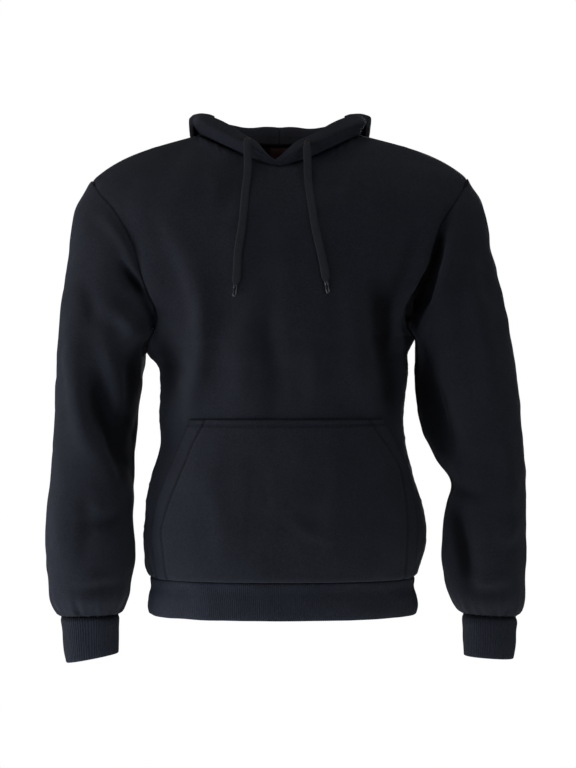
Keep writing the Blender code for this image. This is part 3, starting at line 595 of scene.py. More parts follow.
# Each cloth's colour, width and height of a stitch, depth of the knit and of the pile in metres, and sheen
CLOTHS = {
    "fleece": (NAVY, 0.0012, 0.0010, 0.00012, 0.00022, 0.05),
    "fleece_inside": (NAVY_INSIDE, 0.0016, 0.0016, 0.00008, 0.0005, 0.03),
    "rib": (NAVY_RIB, 0.0011, 0.0009, 0.00010, 0.00012, 0.05),
    "thread": (THREAD_COLOUR, 0.0006, 0.0005, 0.00005, 0.00004, 0.05),
    "eyelet_shadow": (PAINTED_HOLE_SHADOW, 0.0012, 0.0010, 0.0001, 0.0001, 0.0),
}

# How far apart the braid's strands, its columns and the label's threads lie, in metres
BRAID_STRAND = 0.0022
BRAID_COLUMN = 0.0017
WARP = 0.0005
WEFT = 0.0004
BRAID_SLANT = 300
TIP_ROUGH = 0.34
EYELET_ROUGH = 0.38
SCRATCH = 0.00001

# Drawcord
CORD_WIDE = 10.4 * MM
CORD_THICK = 3.0 * MM
CORD_END_SHARE = 0.42
CORD_NARROW = 9 * MM
CORD_STEPS = 150
CORD_SIDES = 24
CORD_INTO_TIP = 2 * MM
CORD_SEED = 40
# The cord's width sways by this share, in waves of these lengths
CORD_SWAY = 0.025
CORD_SWAY_LONG = 9 * MM
CORD_SWAYS = (1.0, 1.7, 2.6)
CORD_SQUARENESS = (0.55, 0.8)
# The cord's thickness at its middle line, and how much of it is lost towards its edges
CORD_EDGE_THIN = (0.95, 0.1)
CORD_WAIST = 0.12
FRAME_SMOOTHINGS = 12
# The middle lines of the cord's two ends, from the eyelet down
CORD_ROUTES = (
    (
        (-47.3, -81.1, -4.3),
        (-46.9, -86.5, -9),
        (-46.6, -88, -17),
        (-46.3, -87.5, -28),
        (-46, -87.5, -44),
        (-49.5, -99.4, -81),
        (-53.3, -112.4, -125),
        (-58.5, -117.2, -158),
        (-59.8, -119.8, -186),
        (-61.5, -119.9, -200),
    ),
    (
        (31.8, -84.7, -10.2),
        (31.9, -88.2, -16),
        (32, -89.4, -24),
        (32.4, -89, -36),
        (33, -90, -59),
        (37, -101.3, -90),
        (42, -111.4, -124),
        (49.5, -117, -157),
        (55, -119.6, -186),
        (56.5, -119.8, -196),
    ),
)
# Each eyelet's place and the way that it faces
EYELETS = (((-47.9, -79.6, -5.9), (0.25, -0.67, 0.70)), ((32.1, -82.8, -11.3), (-0.13, -0.87, 0.48)))
EYELET_SEGMENTS = 40
TIP_SEGMENTS = 32
TIP_SQUARENESS = 0.8
TIP_GAP = 0.3 * MM

# An eyelet's section from its middle hole out: distance from the axis and height above the ring's middle
EYELET_SECTION = (
    (2.4, -2.4),
    (2.5, -0.6),
    (2.8, 0.4),
    (3.3, 0.9),
    (3.9, 0.95),
    (4.4, 0.5),
    (4.6, -0.1),
    (4.4, -0.6),
)
# The disc of painted shadow behind the hole, in the same way
EYELET_SHADOW_DISC = ((2.5, -2.2), (2.5, -1.6))

# A tip's section along its length: distance from the cord, share of the width and share of the thickness
TIP_SECTION = (
    (1.6, 0.80, 0.70),
    (0.0, 0.94, 0.90),
    (0.15, 1.02, 1.02),
    (0.9, 1.04, 1.06),
    (1.5, 0.98, 1.00),
    (3.2, 0.97, 0.97),
    (4.0, 0.90, 0.78),
    (4.8, 0.90, 0.78),
    (5.6, 0.98, 0.98),
    (9.0, 0.98, 1.0),
    (12.5, 0.96, 0.98),
    (13.9, 0.90, 0.90),
    (14.7, 0.74, 0.70),
    (15.0, 0.50, 0.45),
)
TIP_WIDE = 4.8 * MM
TIP_THICK = 2.8 * MM

# Studio
CAMERA_AT = (0.00675, -3.2, -0.329)
LENS = 111.1
FLOOR_UP = -1.0
FLOOR_GLOW = 0.70
FLOOR_RADIUS = 0.9
AMBIENT = 0.02

# Each light's name, place, size, power and colour
LIGHTS = (
    ("top", (-0.3, -0.5, 1.4), (1.0, 0.8), 13.3, (1.0, 0.99, 0.98)),
    ("left", (-2.0, -0.3, -0.4), (0.5, 0.9), 12.0, (1.0, 0.98, 1.0)),
    ("low_left", (-1.5, -0.3, -0.9), (0.6, 0.4), 12.0, (0.93, 0.96, 1.05)),
    ("near_low_left", (-0.95, -0.85, -0.93), (0.6, 0.3), 6.0, (0.80, 0.93, 1.15)),
    ("right_front", (1.8, -1.4, -0.1), (0.8, 1.0), 10.0, (0.90, 0.98, 1.07)),
    ("right", (2.0, -0.3, -0.3), (0.6, 1.0), 3.6, (0.98, 1.0, 1.02)),
    ("behind", (0.6, 2.6, 0.2), (1.6, 1.6), 25, (1.0, 1.0, 1.0)),
)
AIM = (0.0, 0.0, -0.35)
BACKGROUND = 1.0
AMBIENT_COLOUR = (1.0, 0.99, 0.93, 1)
SENSOR = 36.0
FLOOR_SEGMENTS = 96


def smooth(at, knots, values):
    """A smooth curve through the values at the knots, read at the given places."""
    knots = np.asarray(knots, float)
    values = np.asarray(values, float)
    slopes = np.gradient(values, knots, axis=0)
    at = np.clip(np.asarray(at, float), knots[0], knots[-1])
    i = np.clip(np.searchsorted(knots, at, side="right") - 1, 0, len(knots) - 2)
    span = knots[i + 1] - knots[i]
    t = (at - knots[i]) / span
    if values.ndim > 1:
        span = span[..., None]
        t = t[..., None]
    start = (2 * t**3 - 3 * t**2 + 1) * values[i] + (t**3 - 2 * t**2 + t) * span * slopes[i]
    end = (3 * t**2 - 2 * t**3) * values[i + 1] + (t**3 - t**2) * span * slopes[i + 1]
    return start + end


def ease(value, low, high):
    """0 below low, 1 above high, and a soft step between."""
    t = np.clip((value - low) / (high - low), 0, 1)
    return t * t * (3 - 2 * t)


def unit(vectors):
    """The vectors at length 1."""
    return vectors / np.maximum(np.linalg.norm(vectors, axis=-1, keepdims=True), TINY)


def run_of(line):
    """How far along a line each of its points lies."""
    return np.concatenate([[0], np.cumsum(np.linalg.norm(np.diff(line, axis=0), axis=1))])


def read(at, run, line):
    """A line's coordinates at the given places along it."""
    return np.stack([np.interp(at, run, column) for column in line.T], axis=-1)


def along_line(points, count):
    """That many points evenly spaced along a smooth curve through the points."""
    points = np.asarray(points, float)
    knots = run_of(points)
    fine = smooth(np.linspace(0, knots[-1], CURVE_STEPS * len(points)), knots, points)
    run = run_of(fine)
    return read(np.linspace(0, run[-1], count), run, fine)


def turns_of(count):
    """That many angles all round."""
    return np.arange(count) * 2 * math.pi / count


def rounded(turn, flat_power, deep_power):
    """Cosines and sines of a squarer circle."""
    cosine, sine = np.cos(turn), np.sin(turn)
    return np.sign(cosine) * np.abs(cosine) ** flat_power, np.sign(sine) * np.abs(sine) ** deep_power


def groove(share):
    """A soft dip with a narrow groove in it, 1 deep at share 0."""
    soft, narrow, narrower = GROOVE
    return soft * np.exp(-(share**2)) + narrow * np.exp(-((share * narrower) ** 2))


# The forms


def fold_height(folds, across, up):
    """How far the folds lift the cloth at each place, with a shallow dip beside each ridge."""
    total = np.zeros(np.broadcast(across, up).shape)
    for height, width, lean, points in folds:
        line = along_line(np.array(points) * MM, FOLD_STEPS)
        way = unit(np.gradient(line, axis=0))
        end = np.sin(np.pi * np.linspace(FOLD_END, 1 - FOLD_END, len(line))) ** FOLD_END_POWER
        gap_x = across[..., None] - line[:, 0]
        gap_z = up[..., None] - line[:, 1]
        square = gap_x**2 + gap_z**2
        side = (gap_x * way[:, 1] - gap_z * way[:, 0]) / (width * MM)
        wide = (width * MM * (1 - lean * np.tanh(side))) ** 2
        ridge = (end * np.exp(-square / wide)).max(axis=-1)
        broad = (end * np.exp(-square / (wide * FOLD_DIP_WIDE**2))).max(axis=-1)
        total += height * MM * ((1 + FOLD_DIP) * ridge - FOLD_DIP * broad)
    return total


def ripple(points, size, height, seed):
    """Soft uneven swells about that far apart, the same each run."""
    rng = np.random.default_rng(seed)
    total = np.zeros(points.shape[:-1])
    for _ in range(SWELL_WAVES):
        way = unit(rng.normal(size=3)) * 2 * math.pi / (size * rng.uniform(*SWELL_RANGE))
        total += np.sin(points @ way + rng.uniform(0, 2 * math.pi))
    return total * height / math.sqrt(SWELL_WAVES)


def shoulder_up(u):
    """The height of the shoulder seams at each share of the width."""
    share = np.clip((np.abs(u) - NECK_SHARE) / (1 - NECK_SHARE), 0, 1)
    tip = np.where(u < 0, SHOULDER_TIP[RIGHT][1], SHOULDER_TIP[LEFT][1])
    slope = SHOULDER_STRAIGHT * share + (1 - SHOULDER_STRAIGHT) * share**SHOULDER_BEND
    return NECK_POINT_UP + (tip - NECK_POINT_UP) * slope


def top_edge(face, u):
    """The height and the depth of a panel's top edge: shoulder seam, neckline, shoulder seam."""
    share = np.clip(np.abs(u) / NECK_SHARE, 0, 1)
    low = FRONT_NECK_UP if face == FRONT else BACK_NECK_UP
    neck = low + (NECK_POINT_UP - low) * share ** NECKLINE_POWER[face]
    up = np.where(share < 1, neck, shoulder_up(u))
    depth = face * NECK_DEPTH[face] * np.sqrt(np.maximum(1 - share**2, 0))
    return up, depth


def side_line(side):
    """The heights and distances out of a side seam, from the hem seam to the underarm."""
    underarm = ARMHOLES[side]["up"][0]
    level = min(arm["up"][0] for arm in ARMHOLES) - UNDERARM_BAND
    low = np.linspace(HEM_SEAM, level, SIDE_ROWS - UNDERARM_ROWS, endpoint=False)
    coarse = np.concatenate([low, np.linspace(level, underarm, UNDERARM_ROWS)])
    rows = np.arange((SIDE_ROWS - 1) * FINE + 1) / FINE
    up = np.interp(rows, np.arange(SIDE_ROWS), coarse)
    return up, smooth(up, SIDES["up"], SIDES[WORDS[side]])


def armhole_line(side, face):
    """The heights, distances out and unrolled depths of an armhole seam above the underarm."""
    arm = ARMHOLES[side]
    which = "front" if face == FRONT else "back"
    places = np.stack([arm["up"], arm[which + "_across"], arm[which + "_out"]], axis=1)
    return along_line(places, ARMHOLE_ROWS * FINE + 1)[1:].T


def depth_at(face, u, up, edge_out, roundness):
    """How deep the cloth of a panel lies at a share of its width, before the shoulders roll it in."""
    middle = smooth(up, DEPTHS["up"], DEPTHS["front" if face == FRONT else "back"])
    wide = np.clip(np.abs(u), 0, 1)
    hung, held = (
        np.maximum(1 - wide**power, 0) ** fullness for power, fullness in (HUNG_POWERS, HELD_POWERS)
    )
    shape = hung + (held - hung) * roundness
    return face * (edge_out + (middle - edge_out) * shape)


def shoulder_roll(below):
    """0 at the top edge and 1 where the body has its full depth."""
    share = np.clip(below / SHOULDER_ROLL, 0, 1)
    return (1 - (1 - share) ** 2) ** SHOULDER_ROLL_POWER


def columns_of_panel():
    """The shares of the width at which a panel's columns lie."""
    out = np.sin(np.linspace(0, math.pi / 2, SHOULDER_COLUMNS * FINE + 1))[1:]
    shoulder = NECK_SHARE + (1 - NECK_SHARE) * out
    turns = np.linspace(-1, 1, NECK_COLUMNS * FINE + 1)
    neck = NECK_SHARE * (turns * NECK_EVEN + np.sin(turns * math.pi / 2) * (1 - NECK_EVEN))
    return np.concatenate([-shoulder[::-1], neck, shoulder])


def blurred(values, u):
    """The values along a panel's width, made smooth round the neck's corners."""
    flat = u[0]
    near = np.exp(-(((flat[:, None] - flat[None, :]) / NECK_CORNER_SOFT) ** 2)) * np.gradient(flat)
    soft = values @ (near / near.sum(axis=1, keepdims=True)).T
    corner = np.exp(-(((np.abs(u) - NECK_SHARE) / NECK_CORNER_WIDE) ** 4))
    return values + (soft - values) * corner


def panel(face):
    """The front's or the back's outer face, with rows from the hem seam up."""
    u = columns_of_panel()[None, :]
    ends = []
    for side in (RIGHT, LEFT):
        side_up, side_out = side_line(side)
        arm_up, arm_out, arm_deep = armhole_line(side, face)
        up = np.concatenate([side_up, arm_up])[:, None]
        out = np.concatenate([side_out, arm_out])[:, None]
        deep = np.concatenate([0 * side_up, arm_deep])[:, None]
        ends.append((up, out, deep))
    (up_r, out_r, deep_r), (up_l, out_l, deep_l) = ends
    t = (u + 1) / 2
    top_up, top_depth = top_edge(face, u)
    tips = SHOULDER_TIP[RIGHT][1] * (1 - t) + SHOULDER_TIP[LEFT][1] * t
    rows = np.arange(len(up_r))[:, None] / FINE
    lift = ease(rows, SIDE_ROWS - UNDERARM_ROWS, SIDE_ROWS + ARMHOLE_ROWS - 1) ** YOKE_POWER
    up = up_r * (1 - t) + up_l * t + (top_up - tips) * lift
    across = -out_r * (1 - t) + out_l * t
    edge = deep_r * (1 - t) + deep_l * t
    under = ARMHOLES[RIGHT]["up"][0] * (1 - t) + ARMHOLES[LEFT]["up"][0] * t
    roundness = ease(up, under + HELD_FROM, under + HELD_TO)
    full = depth_at(face, u, up, edge, roundness)
    folds = FRONT_FOLDS if face == FRONT else BACK_FOLDS
    full = full + face * fold_height(folds, across, up) * (1 - np.abs(u) ** FOLD_SIDE_POWER)
    away = ease(top_up - up, 0, NECK_CORNER_FADE)
    edge_up = top_up + (blurred(top_up, u) - top_up) * away
    edge_depth = top_depth + (blurred(top_depth, u) - top_depth) * away
    depth = edge_depth + (full - edge_depth) * shoulder_roll(edge_up - up)
    points = np.stack([across, depth, up], axis=-1)
    return points if face == FRONT else points[:, ::-1]


def ring(row, turn, side):
    """A sleeve's ring: 0 is the outer point, a quarter turn the front, half a turn the inner point."""
    sign = -1 if side == RIGHT else 1
    outer = np.stack([sign * row["outer_across"], row["middle"], row["outer_up"]], axis=-1)
    inner = np.stack([sign * row["inner_across"], row["middle"], row["inner_up"]], axis=-1)
    middle = (outer + inner)[:, None, :] / 2
    reach = (outer - inner)[:, None, :] / 2
    flat, deep = rounded(turn, SLEEVE_SQUARENESS, SLEEVE_SQUARENESS)
    points = middle + reach * flat[None, :, None]
    points[..., 1] -= deep[None, :] * row["half_depth"][:, None]
    return points


def rings_of(sections, count):
    """The sections' columns read smoothly at that many places."""
    steps = np.sqrt(np.diff(sections["outer_up"]) ** 2 + np.diff(sections["outer_across"]) ** 2)
    knots = np.concatenate([[0], np.cumsum(steps)])
    at = np.linspace(0, knots[-1], count)
    return {name: smooth(at, knots, values) for name, values in sections.items()}


def facing_out(rings, side):
    """Rings in the order that makes their faces point out."""
    return rings[::-1] if side == RIGHT else rings


def sleeve(side, armhole):
    """A sleeve's outer face between the armhole seam and the cuff seam."""
    turn = np.linspace(0, 2 * math.pi, len(armhole), endpoint=False)
    count = (SLEEVE_RINGS - 1) * FINE + 1
    points = ring(rings_of(SLEEVES[side], count), turn, side)
    share = np.linspace(0, 1, count)
    hold = (1 - ease(share, 0, SLEEVE_ARMHOLE_SHARE))[:, None, None]
    points = points + (armhole[None, :, :] - points[:1]) * hold
    front = np.clip(np.sin(turn), 0, 1)[None, :] ** 0.5
    back = np.clip(-np.sin(turn), 0, 1)[None, :] ** 0.5
    free = (ease(share, 0, SLEEVE_FREE[0]) * (1 - ease(share, SLEEVE_FREE[1], 1)))[:, None]
    across, up = points[..., 0], points[..., 2]
    lift = fold_height(SLEEVE_FRONT_FOLDS[side], across, up) * front
    lift += fold_height(SLEEVE_BACK_FOLDS[side], across, up) * back
    points = facing_out(points, side)
    return points + grid_normals(points, True) * facing_out(lift * free, side)[..., None]


def meridian(at):
    """One line of the hood from the neck seam to the rim, outward and up from the seam."""
    rise, bulge, crest = at["rise"], at["bulge"], at["crest"]
    stand = [(low * bulge + high * crest, of_rise * rise) for low, high, of_rise in HOOD_STAND]
    if at["roll"] < HOOD_LEAST_ROLL:
        return np.array(stand)
    turns = np.radians(at["roll"] * np.linspace(0, 1, len(POUCH["out"]) + 1))[1:]
    rolled_out = crest + HOOD_ROLL_ROUND * (1 - np.cos(turns))
    rolled_up = rise + HOOD_ROLL_ROUND * np.sin(turns)
    out = rolled_out * (1 - at["pouch"]) + POUCH["out"] * at["pouch"]
    up = rolled_up * (1 - at["drop"]) + POUCH["up"] * at["drop"]
    return np.concatenate([stand, np.stack([out, up], axis=1)])


def lay_on_body(places, body):
    """Moves places on the hood out to where they lie just off the body."""
    for place in places:
        on_body, normal, _, _ = body.find_nearest(Vector(place))
        off = (Vector(place) - on_body).dot(normal)
        if off < HOOD_OFF_BODY:
            place[:] = on_body + normal * HOOD_OFF_BODY
    return places


def window(angles, rise_from, rise_to, fall_from, fall_to):
    """Half strength between two soft steps."""
    return 0.5 * ease(angles, rise_from, rise_to) * (1 - ease(angles, fall_from, fall_to))


def settle(points, left_over, angles, rise, body):
    """Evens the hood out between its meridians and lays its fallen part on the body."""
    pull = window(angles, *HOOD_SETTLED)[1:-1, None, None]
    for _ in range(HOOD_SETTLINGS):
        beside = (points[:-2] + points[2:]) / 2
        points[1:-1, 1:] += ((beside - points[1:-1]) * pull)[:, 1:]
    for i in np.flatnonzero(angles > HOOD_POUCH_FROM):
        fallen = np.flatnonzero(left_over[i, 0] - left_over[i] > rise[i] + HOOD_CREST_ROUND)
        points[i, fallen] = lay_on_body(points[i, fallen], body)
    soften = window(angles, *HOOD_SOFTENED)[1:-1, None, None]
    for _ in range(HOOD_SOFTENINGS):
        beside = (points[:-2, 1:-1] + points[2:, 1:-1] + points[1:-1, :-2] + points[1:-1, 2:]) / 4
        points[1:-1, 1:-1] += (beside - points[1:-1, 1:-1]) * soften
        rim = (points[:-2, -1] + points[2:, -1]) / 2
        points[1:-1, -1] += (rim - points[1:-1, -1]) * soften[:, 0]


def hood(side, seam, body):
    """Half of the hood's outer face and its thickness: a row for each meridian from front to back."""
    sign = -1 if side == RIGHT else 1
    angles = np.linspace(0, 180, len(seam))
    lists = {"turn": HOOD_TURNS, "roll": HOOD_ROLLS, "pouch": HOOD_POUCHES, "drop": HOOD_DROPS, **HOOD_BAND}
    form = {name: smooth(angles, HOOD_ANGLES, values) for name, values in lists.items()}
    share = np.linspace(0, 1, HOOD_ROWS * FINE + 1)
    points = np.repeat(seam[:, None, :], len(share), axis=1)
    left_over = np.zeros(points.shape[:2])
    for i, angle in enumerate(angles):
        line = along_line(meridian({name: values[i] for name, values in form.items()}), len(share))
        turn = math.radians(form["turn"][i])
        points[i, :, 0] += sign * math.sin(turn) * line[:, 0]
        points[i, :, 1] -= math.cos(turn) * line[:, 0]
        points[i, :, 2] += line[:, 1]
        points[i, :, 0] += HOOD_V_SHIFT * math.exp(-((angle / HOOD_V_SPREAD) ** 2)) * share
        left_over[i] = run_of(line)[-1] * (1 - share)
    settle(points, left_over, angles, form["rise"], body)
    thick = CASING - (CASING - HOOD_DOUBLED) * ease(left_over, CASING_STEP * CASING_WIDE, CASING_WIDE)
    thick = np.minimum(thick, HOOD_THIN_SHARE * left_over[:, :1])
    thick[:, 0] = np.minimum(thick[:, 0], FLEECE)
    return (points[::-1], thick[::-1]) if side == LEFT else (points, thick)


# Walls of cloth


def grid_normals(points, closed):
    """The unit normal at each point of a grid; a closed grid joins its last column to its first."""
    if closed:
        wide = np.concatenate([points[:, -1:], points, points[:, :1]], axis=1)
        along = (wide[:, 2:] - wide[:, :-2]) / 2
    else:
        along = np.gradient(points, axis=1)
    return unit(np.cross(along, np.gradient(points, axis=0)))


def key_of(place):
    """A name for a place, alike for points that coincide."""
    return tuple(np.round(place / SAME_PLACE).astype(int))


def edge_numbers(points, closed):
    """The flat numbers of a grid's edge points."""
    rows, columns = points.shape[:2]
    numbers = np.arange(rows * columns).reshape(rows, columns)
    edges = [numbers[0], numbers[-1]]
    if not closed:
        edges += [numbers[:, 0], numbers[:, -1]]
    return np.unique(np.concatenate(edges))


def share_normals(pieces):
    """Where pieces meet at a seam's points, gives them one normal."""
    total = {}
    for points, normals, closed in pieces:
        flat_points, flat = points.reshape(-1, 3), normals.reshape(-1, 3)
        for i in edge_numbers(points, closed):
            key = key_of(flat_points[i])
            total[key] = total.get(key, 0) + flat[i]
    for points, normals, closed in pieces:
        flat_points, flat = points.reshape(-1, 3), normals.reshape(-1, 3)
        for i in edge_numbers(points, closed):
            flat[i] = unit(total[key_of(flat_points[i])])


def edge_first(grid, edge):
    """The grid turned so that its first axis runs in from the edge, which is one of the four names."""
    if edge.endswith("row"):
        return grid if edge == "first_row" else grid[::-1]
    turned = np.swapaxes(grid, 0, 1)
    return turned if edge == "first_column" else turned[::-1]


def edge_last(grid, edge):
    """Undoes edge_first."""
    if edge.endswith("row"):
        return grid if edge == "first_row" else grid[::-1]
    turned = grid if edge == "first_column" else grid[::-1]
    return np.swapaxes(turned, 0, 1)


def inward(points, edge):
    """How far each point lies from an edge, in the order of edge_first."""
    steps = np.linalg.norm(np.diff(edge_first(points, edge), axis=0), axis=-1)
    return np.concatenate([0 * steps[:1], np.cumsum(steps, axis=0)])


def from_edge(points, edge):
    """How far each point lies from an edge along its row or column."""
    return edge_last(inward(points, edge), edge)


def along_edge(points, edge):
    """How far along an edge each point's row or column starts."""
    run = run_of(edge_first(points, edge)[0])
    return run[None, :] if edge.endswith("row") else run[:, None]


def pucker(points, edge, length, reach, height, seed):
    """Small gathers that start at a seam and fade away from it."""
    rng = np.random.default_rng(seed)
    run = along_edge(points, edge)
    wave = 0
    for share in PUCKER_WAVES:
        wave = wave + np.sin(2 * math.pi * run / (length * share) + rng.uniform(0, FULL_TURN)) / 2
    far = from_edge(points, edge)
    return height * wave * np.exp(-((far / reach) ** PUCKER_FADE)) * ease(far, 0, PUCKER_FROM)


def sink(points, edge, deep, wide):
    """How far a seam draws the cloth in beside an edge: a soft dip with a narrow groove in it."""
    return -deep * groove(from_edge(points, edge) / wide)


def pull_in(points, closed):
    """The grid with its edges moved in by half a seam's gap."""
    moved = points.copy()
    for edge, inner in ((0, 1), (-1, -2)):
        moved[edge] += unit(points[inner] - points[edge]) * SEAM_HALF_GAP
        if not closed:
            moved[:, edge] += unit(points[:, inner] - points[:, edge]) * SEAM_HALF_GAP
    return moved


def grid_faces(rows, columns, closed, start, flip):
    """The quads of a grid of points whose numbers begin at start."""
    i, j = np.meshgrid(np.arange(rows - 1), np.arange(columns if closed else columns - 1), indexing="ij")
    k = (j + 1) % columns
    low, high = i * columns, (i + 1) * columns
    quads = np.stack([low + j, low + k, high + k, high + j], axis=-1).reshape(-1, 4) + start
    return quads[:, ::-1] if flip else quads


def rim_loops(rows, columns, closed):
    """The numbers of the points round a grid's edges, one loop for each edge."""
    first = list(range(columns))
    last = [(rows - 1) * columns + j for j in range(columns)]
    if closed:
        return [first[::-1], last]
    right = [i * columns + columns - 1 for i in range(rows)]
    left = [i * columns for i in range(rows)]
    return [first[::-1] + left[1:] + last[1:] + right[::-1][1:-1]]


def new_mesh(name, places, faces, uvs, materials, slots=None):
    """A smooth mesh piece with a UV map in metres."""
    mesh = bpy.data.meshes.new(name)
    mesh.from_pydata([tuple(p) for p in places], [], [tuple(map(int, f)) for f in faces])
    for material in materials:
        mesh.materials.append(material)
    if slots is not None:
        mesh.polygons.foreach_set("material_index", slots)
    layer = mesh.uv_layers.new(name="cloth")
    corners = np.zeros(len(mesh.loops), int)
    mesh.loops.foreach_get("vertex_index", corners)
    layer.data.foreach_set("uv", np.asarray(uvs, np.float32)[corners].ravel())
    mesh.shade_smooth()
    mesh.update()
    piece = bpy.data.objects.new(name, mesh)
    bpy.context.scene.collection.objects.link(piece)
    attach(piece, "root")
    return piece


def tube_faces(rings, sides, caps=True):
    """The faces of a tube of rings, with a cap on each end or open."""
    faces = [tuple(face) for face in grid_faces(rings, sides, True, 0, False).tolist()]
    if caps:
        first, last = rim_loops(rings, sides, True)
        faces += [tuple(first), tuple(last)]
    return faces


def turned_part(name, rings, faces, material, uvs=None):
    """A closed piece of one material on the points of rings, with its faces turned to point out."""
    places = np.concatenate(rings)
    piece = new_mesh(name, places, faces, places[:, [0, 2]] if uvs is None else uvs, [material])
    work = bmesh.new()
    work.from_mesh(piece.data)
    bmesh.ops.recalc_face_normals(work, faces=work.faces)
    work.to_mesh(piece.data)
    work.free()
    piece.data.shade_smooth()
    return piece


def grid_uvs(points):
    """A grid's UVs: across along its middle row and up along each column, in metres."""
    across = run_of(points[points.shape[0] // 2])
    up = from_edge(points, "first_row")
    return np.stack([np.broadcast_to(across[None, :], up.shape), up], axis=-1)


def rows_added(grids, edge, lines=FOLD_LINES):
    """The grids with a few more lines close beside an edge."""
    points = edge_first(grids[0], edge)
    step = np.maximum(np.linalg.norm(points[1] - points[0], axis=-1), TINY)
    more = []
    for grid in (edge_first(grid, edge) for grid in grids):
        added = [grid[:1]]
        for distance in lines:
            share = np.minimum(distance / step, MOST_OF_STEP)
            share = share.reshape(share.shape + (1,) * (grid.ndim - 2))
            added.append((grid[0] * (1 - share) + grid[1] * share)[None])
        more.append(edge_last(np.concatenate(added + [grid[1:]]), edge))
    return more


def wall(name, points, normals, thick, closed, materials, folded=(), worn_edges=(), deep=0.0):
    """A closed wall of cloth, thick inwards from a grid on its outer face, rounded where it is folded."""
    thick = np.broadcast_to(thick, points.shape[:2]).copy()
    deep = np.broadcast_to(deep, points.shape[:2]).copy()
    uvs = grid_uvs(points)
    for edge in folded:
        points, normals, thick, uvs, deep = rows_added([points, normals, thick, uvs, deep], edge)
    outer = pull_in(points, closed)
    inner = outer - normals * thick[..., None]
    for edge in folded:
        share = np.clip(1 - from_edge(points, edge) / (thick / 2), 0, MOST_OF_FOLD)
        turn_in = normals * (thick / 2 * (1 - np.sqrt(1 - share**2)))[..., None]
        outer = outer - turn_in
        inner = inner + turn_in
    rows, columns = points.shape[:2]
    count = rows * columns
    outside = grid_faces(rows, columns, closed, 0, False)
    inside = grid_faces(rows, columns, closed, count, True)
    rim = []
    for loop in rim_loops(rows, columns, closed):
        rim += [(a, b, count + b, count + a) for a, b in zip(loop, loop[1:] + loop[:1])]
    faces = np.concatenate([outside, np.array(rim), inside])
    slots = np.concatenate([np.zeros(len(outside) + len(rim), int), np.ones(len(inside), int)])
    places = np.concatenate([outer.reshape(-1, 3), inner.reshape(-1, 3)])
    piece = new_mesh(name, places, faces, np.tile(uvs.reshape(-1, 2), (2, 1)), materials, slots)
    # The wear along edges, and the depth in folds and grooves that the shader paints as shade
    for word, values in (("wear", worn(points, worn_edges)), ("painted_hollow_shade", deep)):
        layer = piece.data.attributes.new(word, "FLOAT", "POINT")
        layer.data.foreach_set("value", np.tile(values.ravel(), 2).astype(np.float32))
    return piece


def tree_of(*grids):
    """A search tree over open grids of points."""
    places, faces = [], []
    for points in grids:
        rows, columns = points.shape[:2]
        faces += grid_faces(rows, columns, False, len(places), False).tolist()
        places += [Vector(place) for place in points.reshape(-1, 3)]
    return BVHTree.FromPolygons(places, faces)


# Sewing


def line_beside(points, normals, edge, distance):
    """A line on the cloth at that distance in from an edge, with its normals."""
    run = inward(points, edge)
    lines = []
    for grid in (edge_first(points, edge), edge_first(normals, edge)):
        lines.append(np.array([read(distance, run[:, j], grid[:, j]) for j in range(grid.shape[1])]))
    return lines[0], unit(lines[1])


def dashes(line, ups, closed):
    """The points and faces of a row of sewn stitches along a line, each an arched thread."""
    if closed:
        line, ups = np.concatenate([line, line[:1]]), np.concatenate([ups, ups[:1]])
    run = run_of(line)
    count = max(int(run[-1] / STITCH_EVERY), 1)
    starts = (np.arange(count) + 0.5) * run[-1] / count - STITCH_LONG / 2
    at = starts[:, None] + STITCH_LONG * np.array(STITCH_STEPS)[None, :]
    middle = read(at, run, line)
    up = unit(read(at, run, ups))
    way = unit(middle[:, -1:] - middle[:, :1]) + 0 * middle
    out = unit(np.cross(way, up))
    middle = middle + up * np.array(STITCH_ARCH)[None, :, None]
    turns = turns_of(STITCH_SIDES)
    places = middle[:, :, None, :] + out[:, :, None, :] * (np.cos(turns)[:, None] * STITCH_RADIUS)
    places = places + up[:, :, None, :] * (np.sin(turns)[:, None] * STITCH_RADIUS)
    one = [face[:1] + face[:0:-1] for face in tube_faces(len(STITCH_STEPS), STITCH_SIDES)]
    each = len(STITCH_STEPS) * STITCH_SIDES
    faces = [tuple(s * each + n for n in face) for s in range(count) for face in one]
    return places.reshape(-1, 3), faces


def stitches(name, rows, material):
    """One piece made of several rows of stitches."""
    places, faces, start = [], [], 0
    for line, ups, closed in rows:
        more, their_faces = dashes(line, ups, closed)
        places.append(more)
        faces += [tuple(start + n for n in face) for face in their_faces]
        start += len(more)
    places = np.concatenate(places)
    return new_mesh(name, places, faces, places[:, [0, 2]], [material])


# Materials


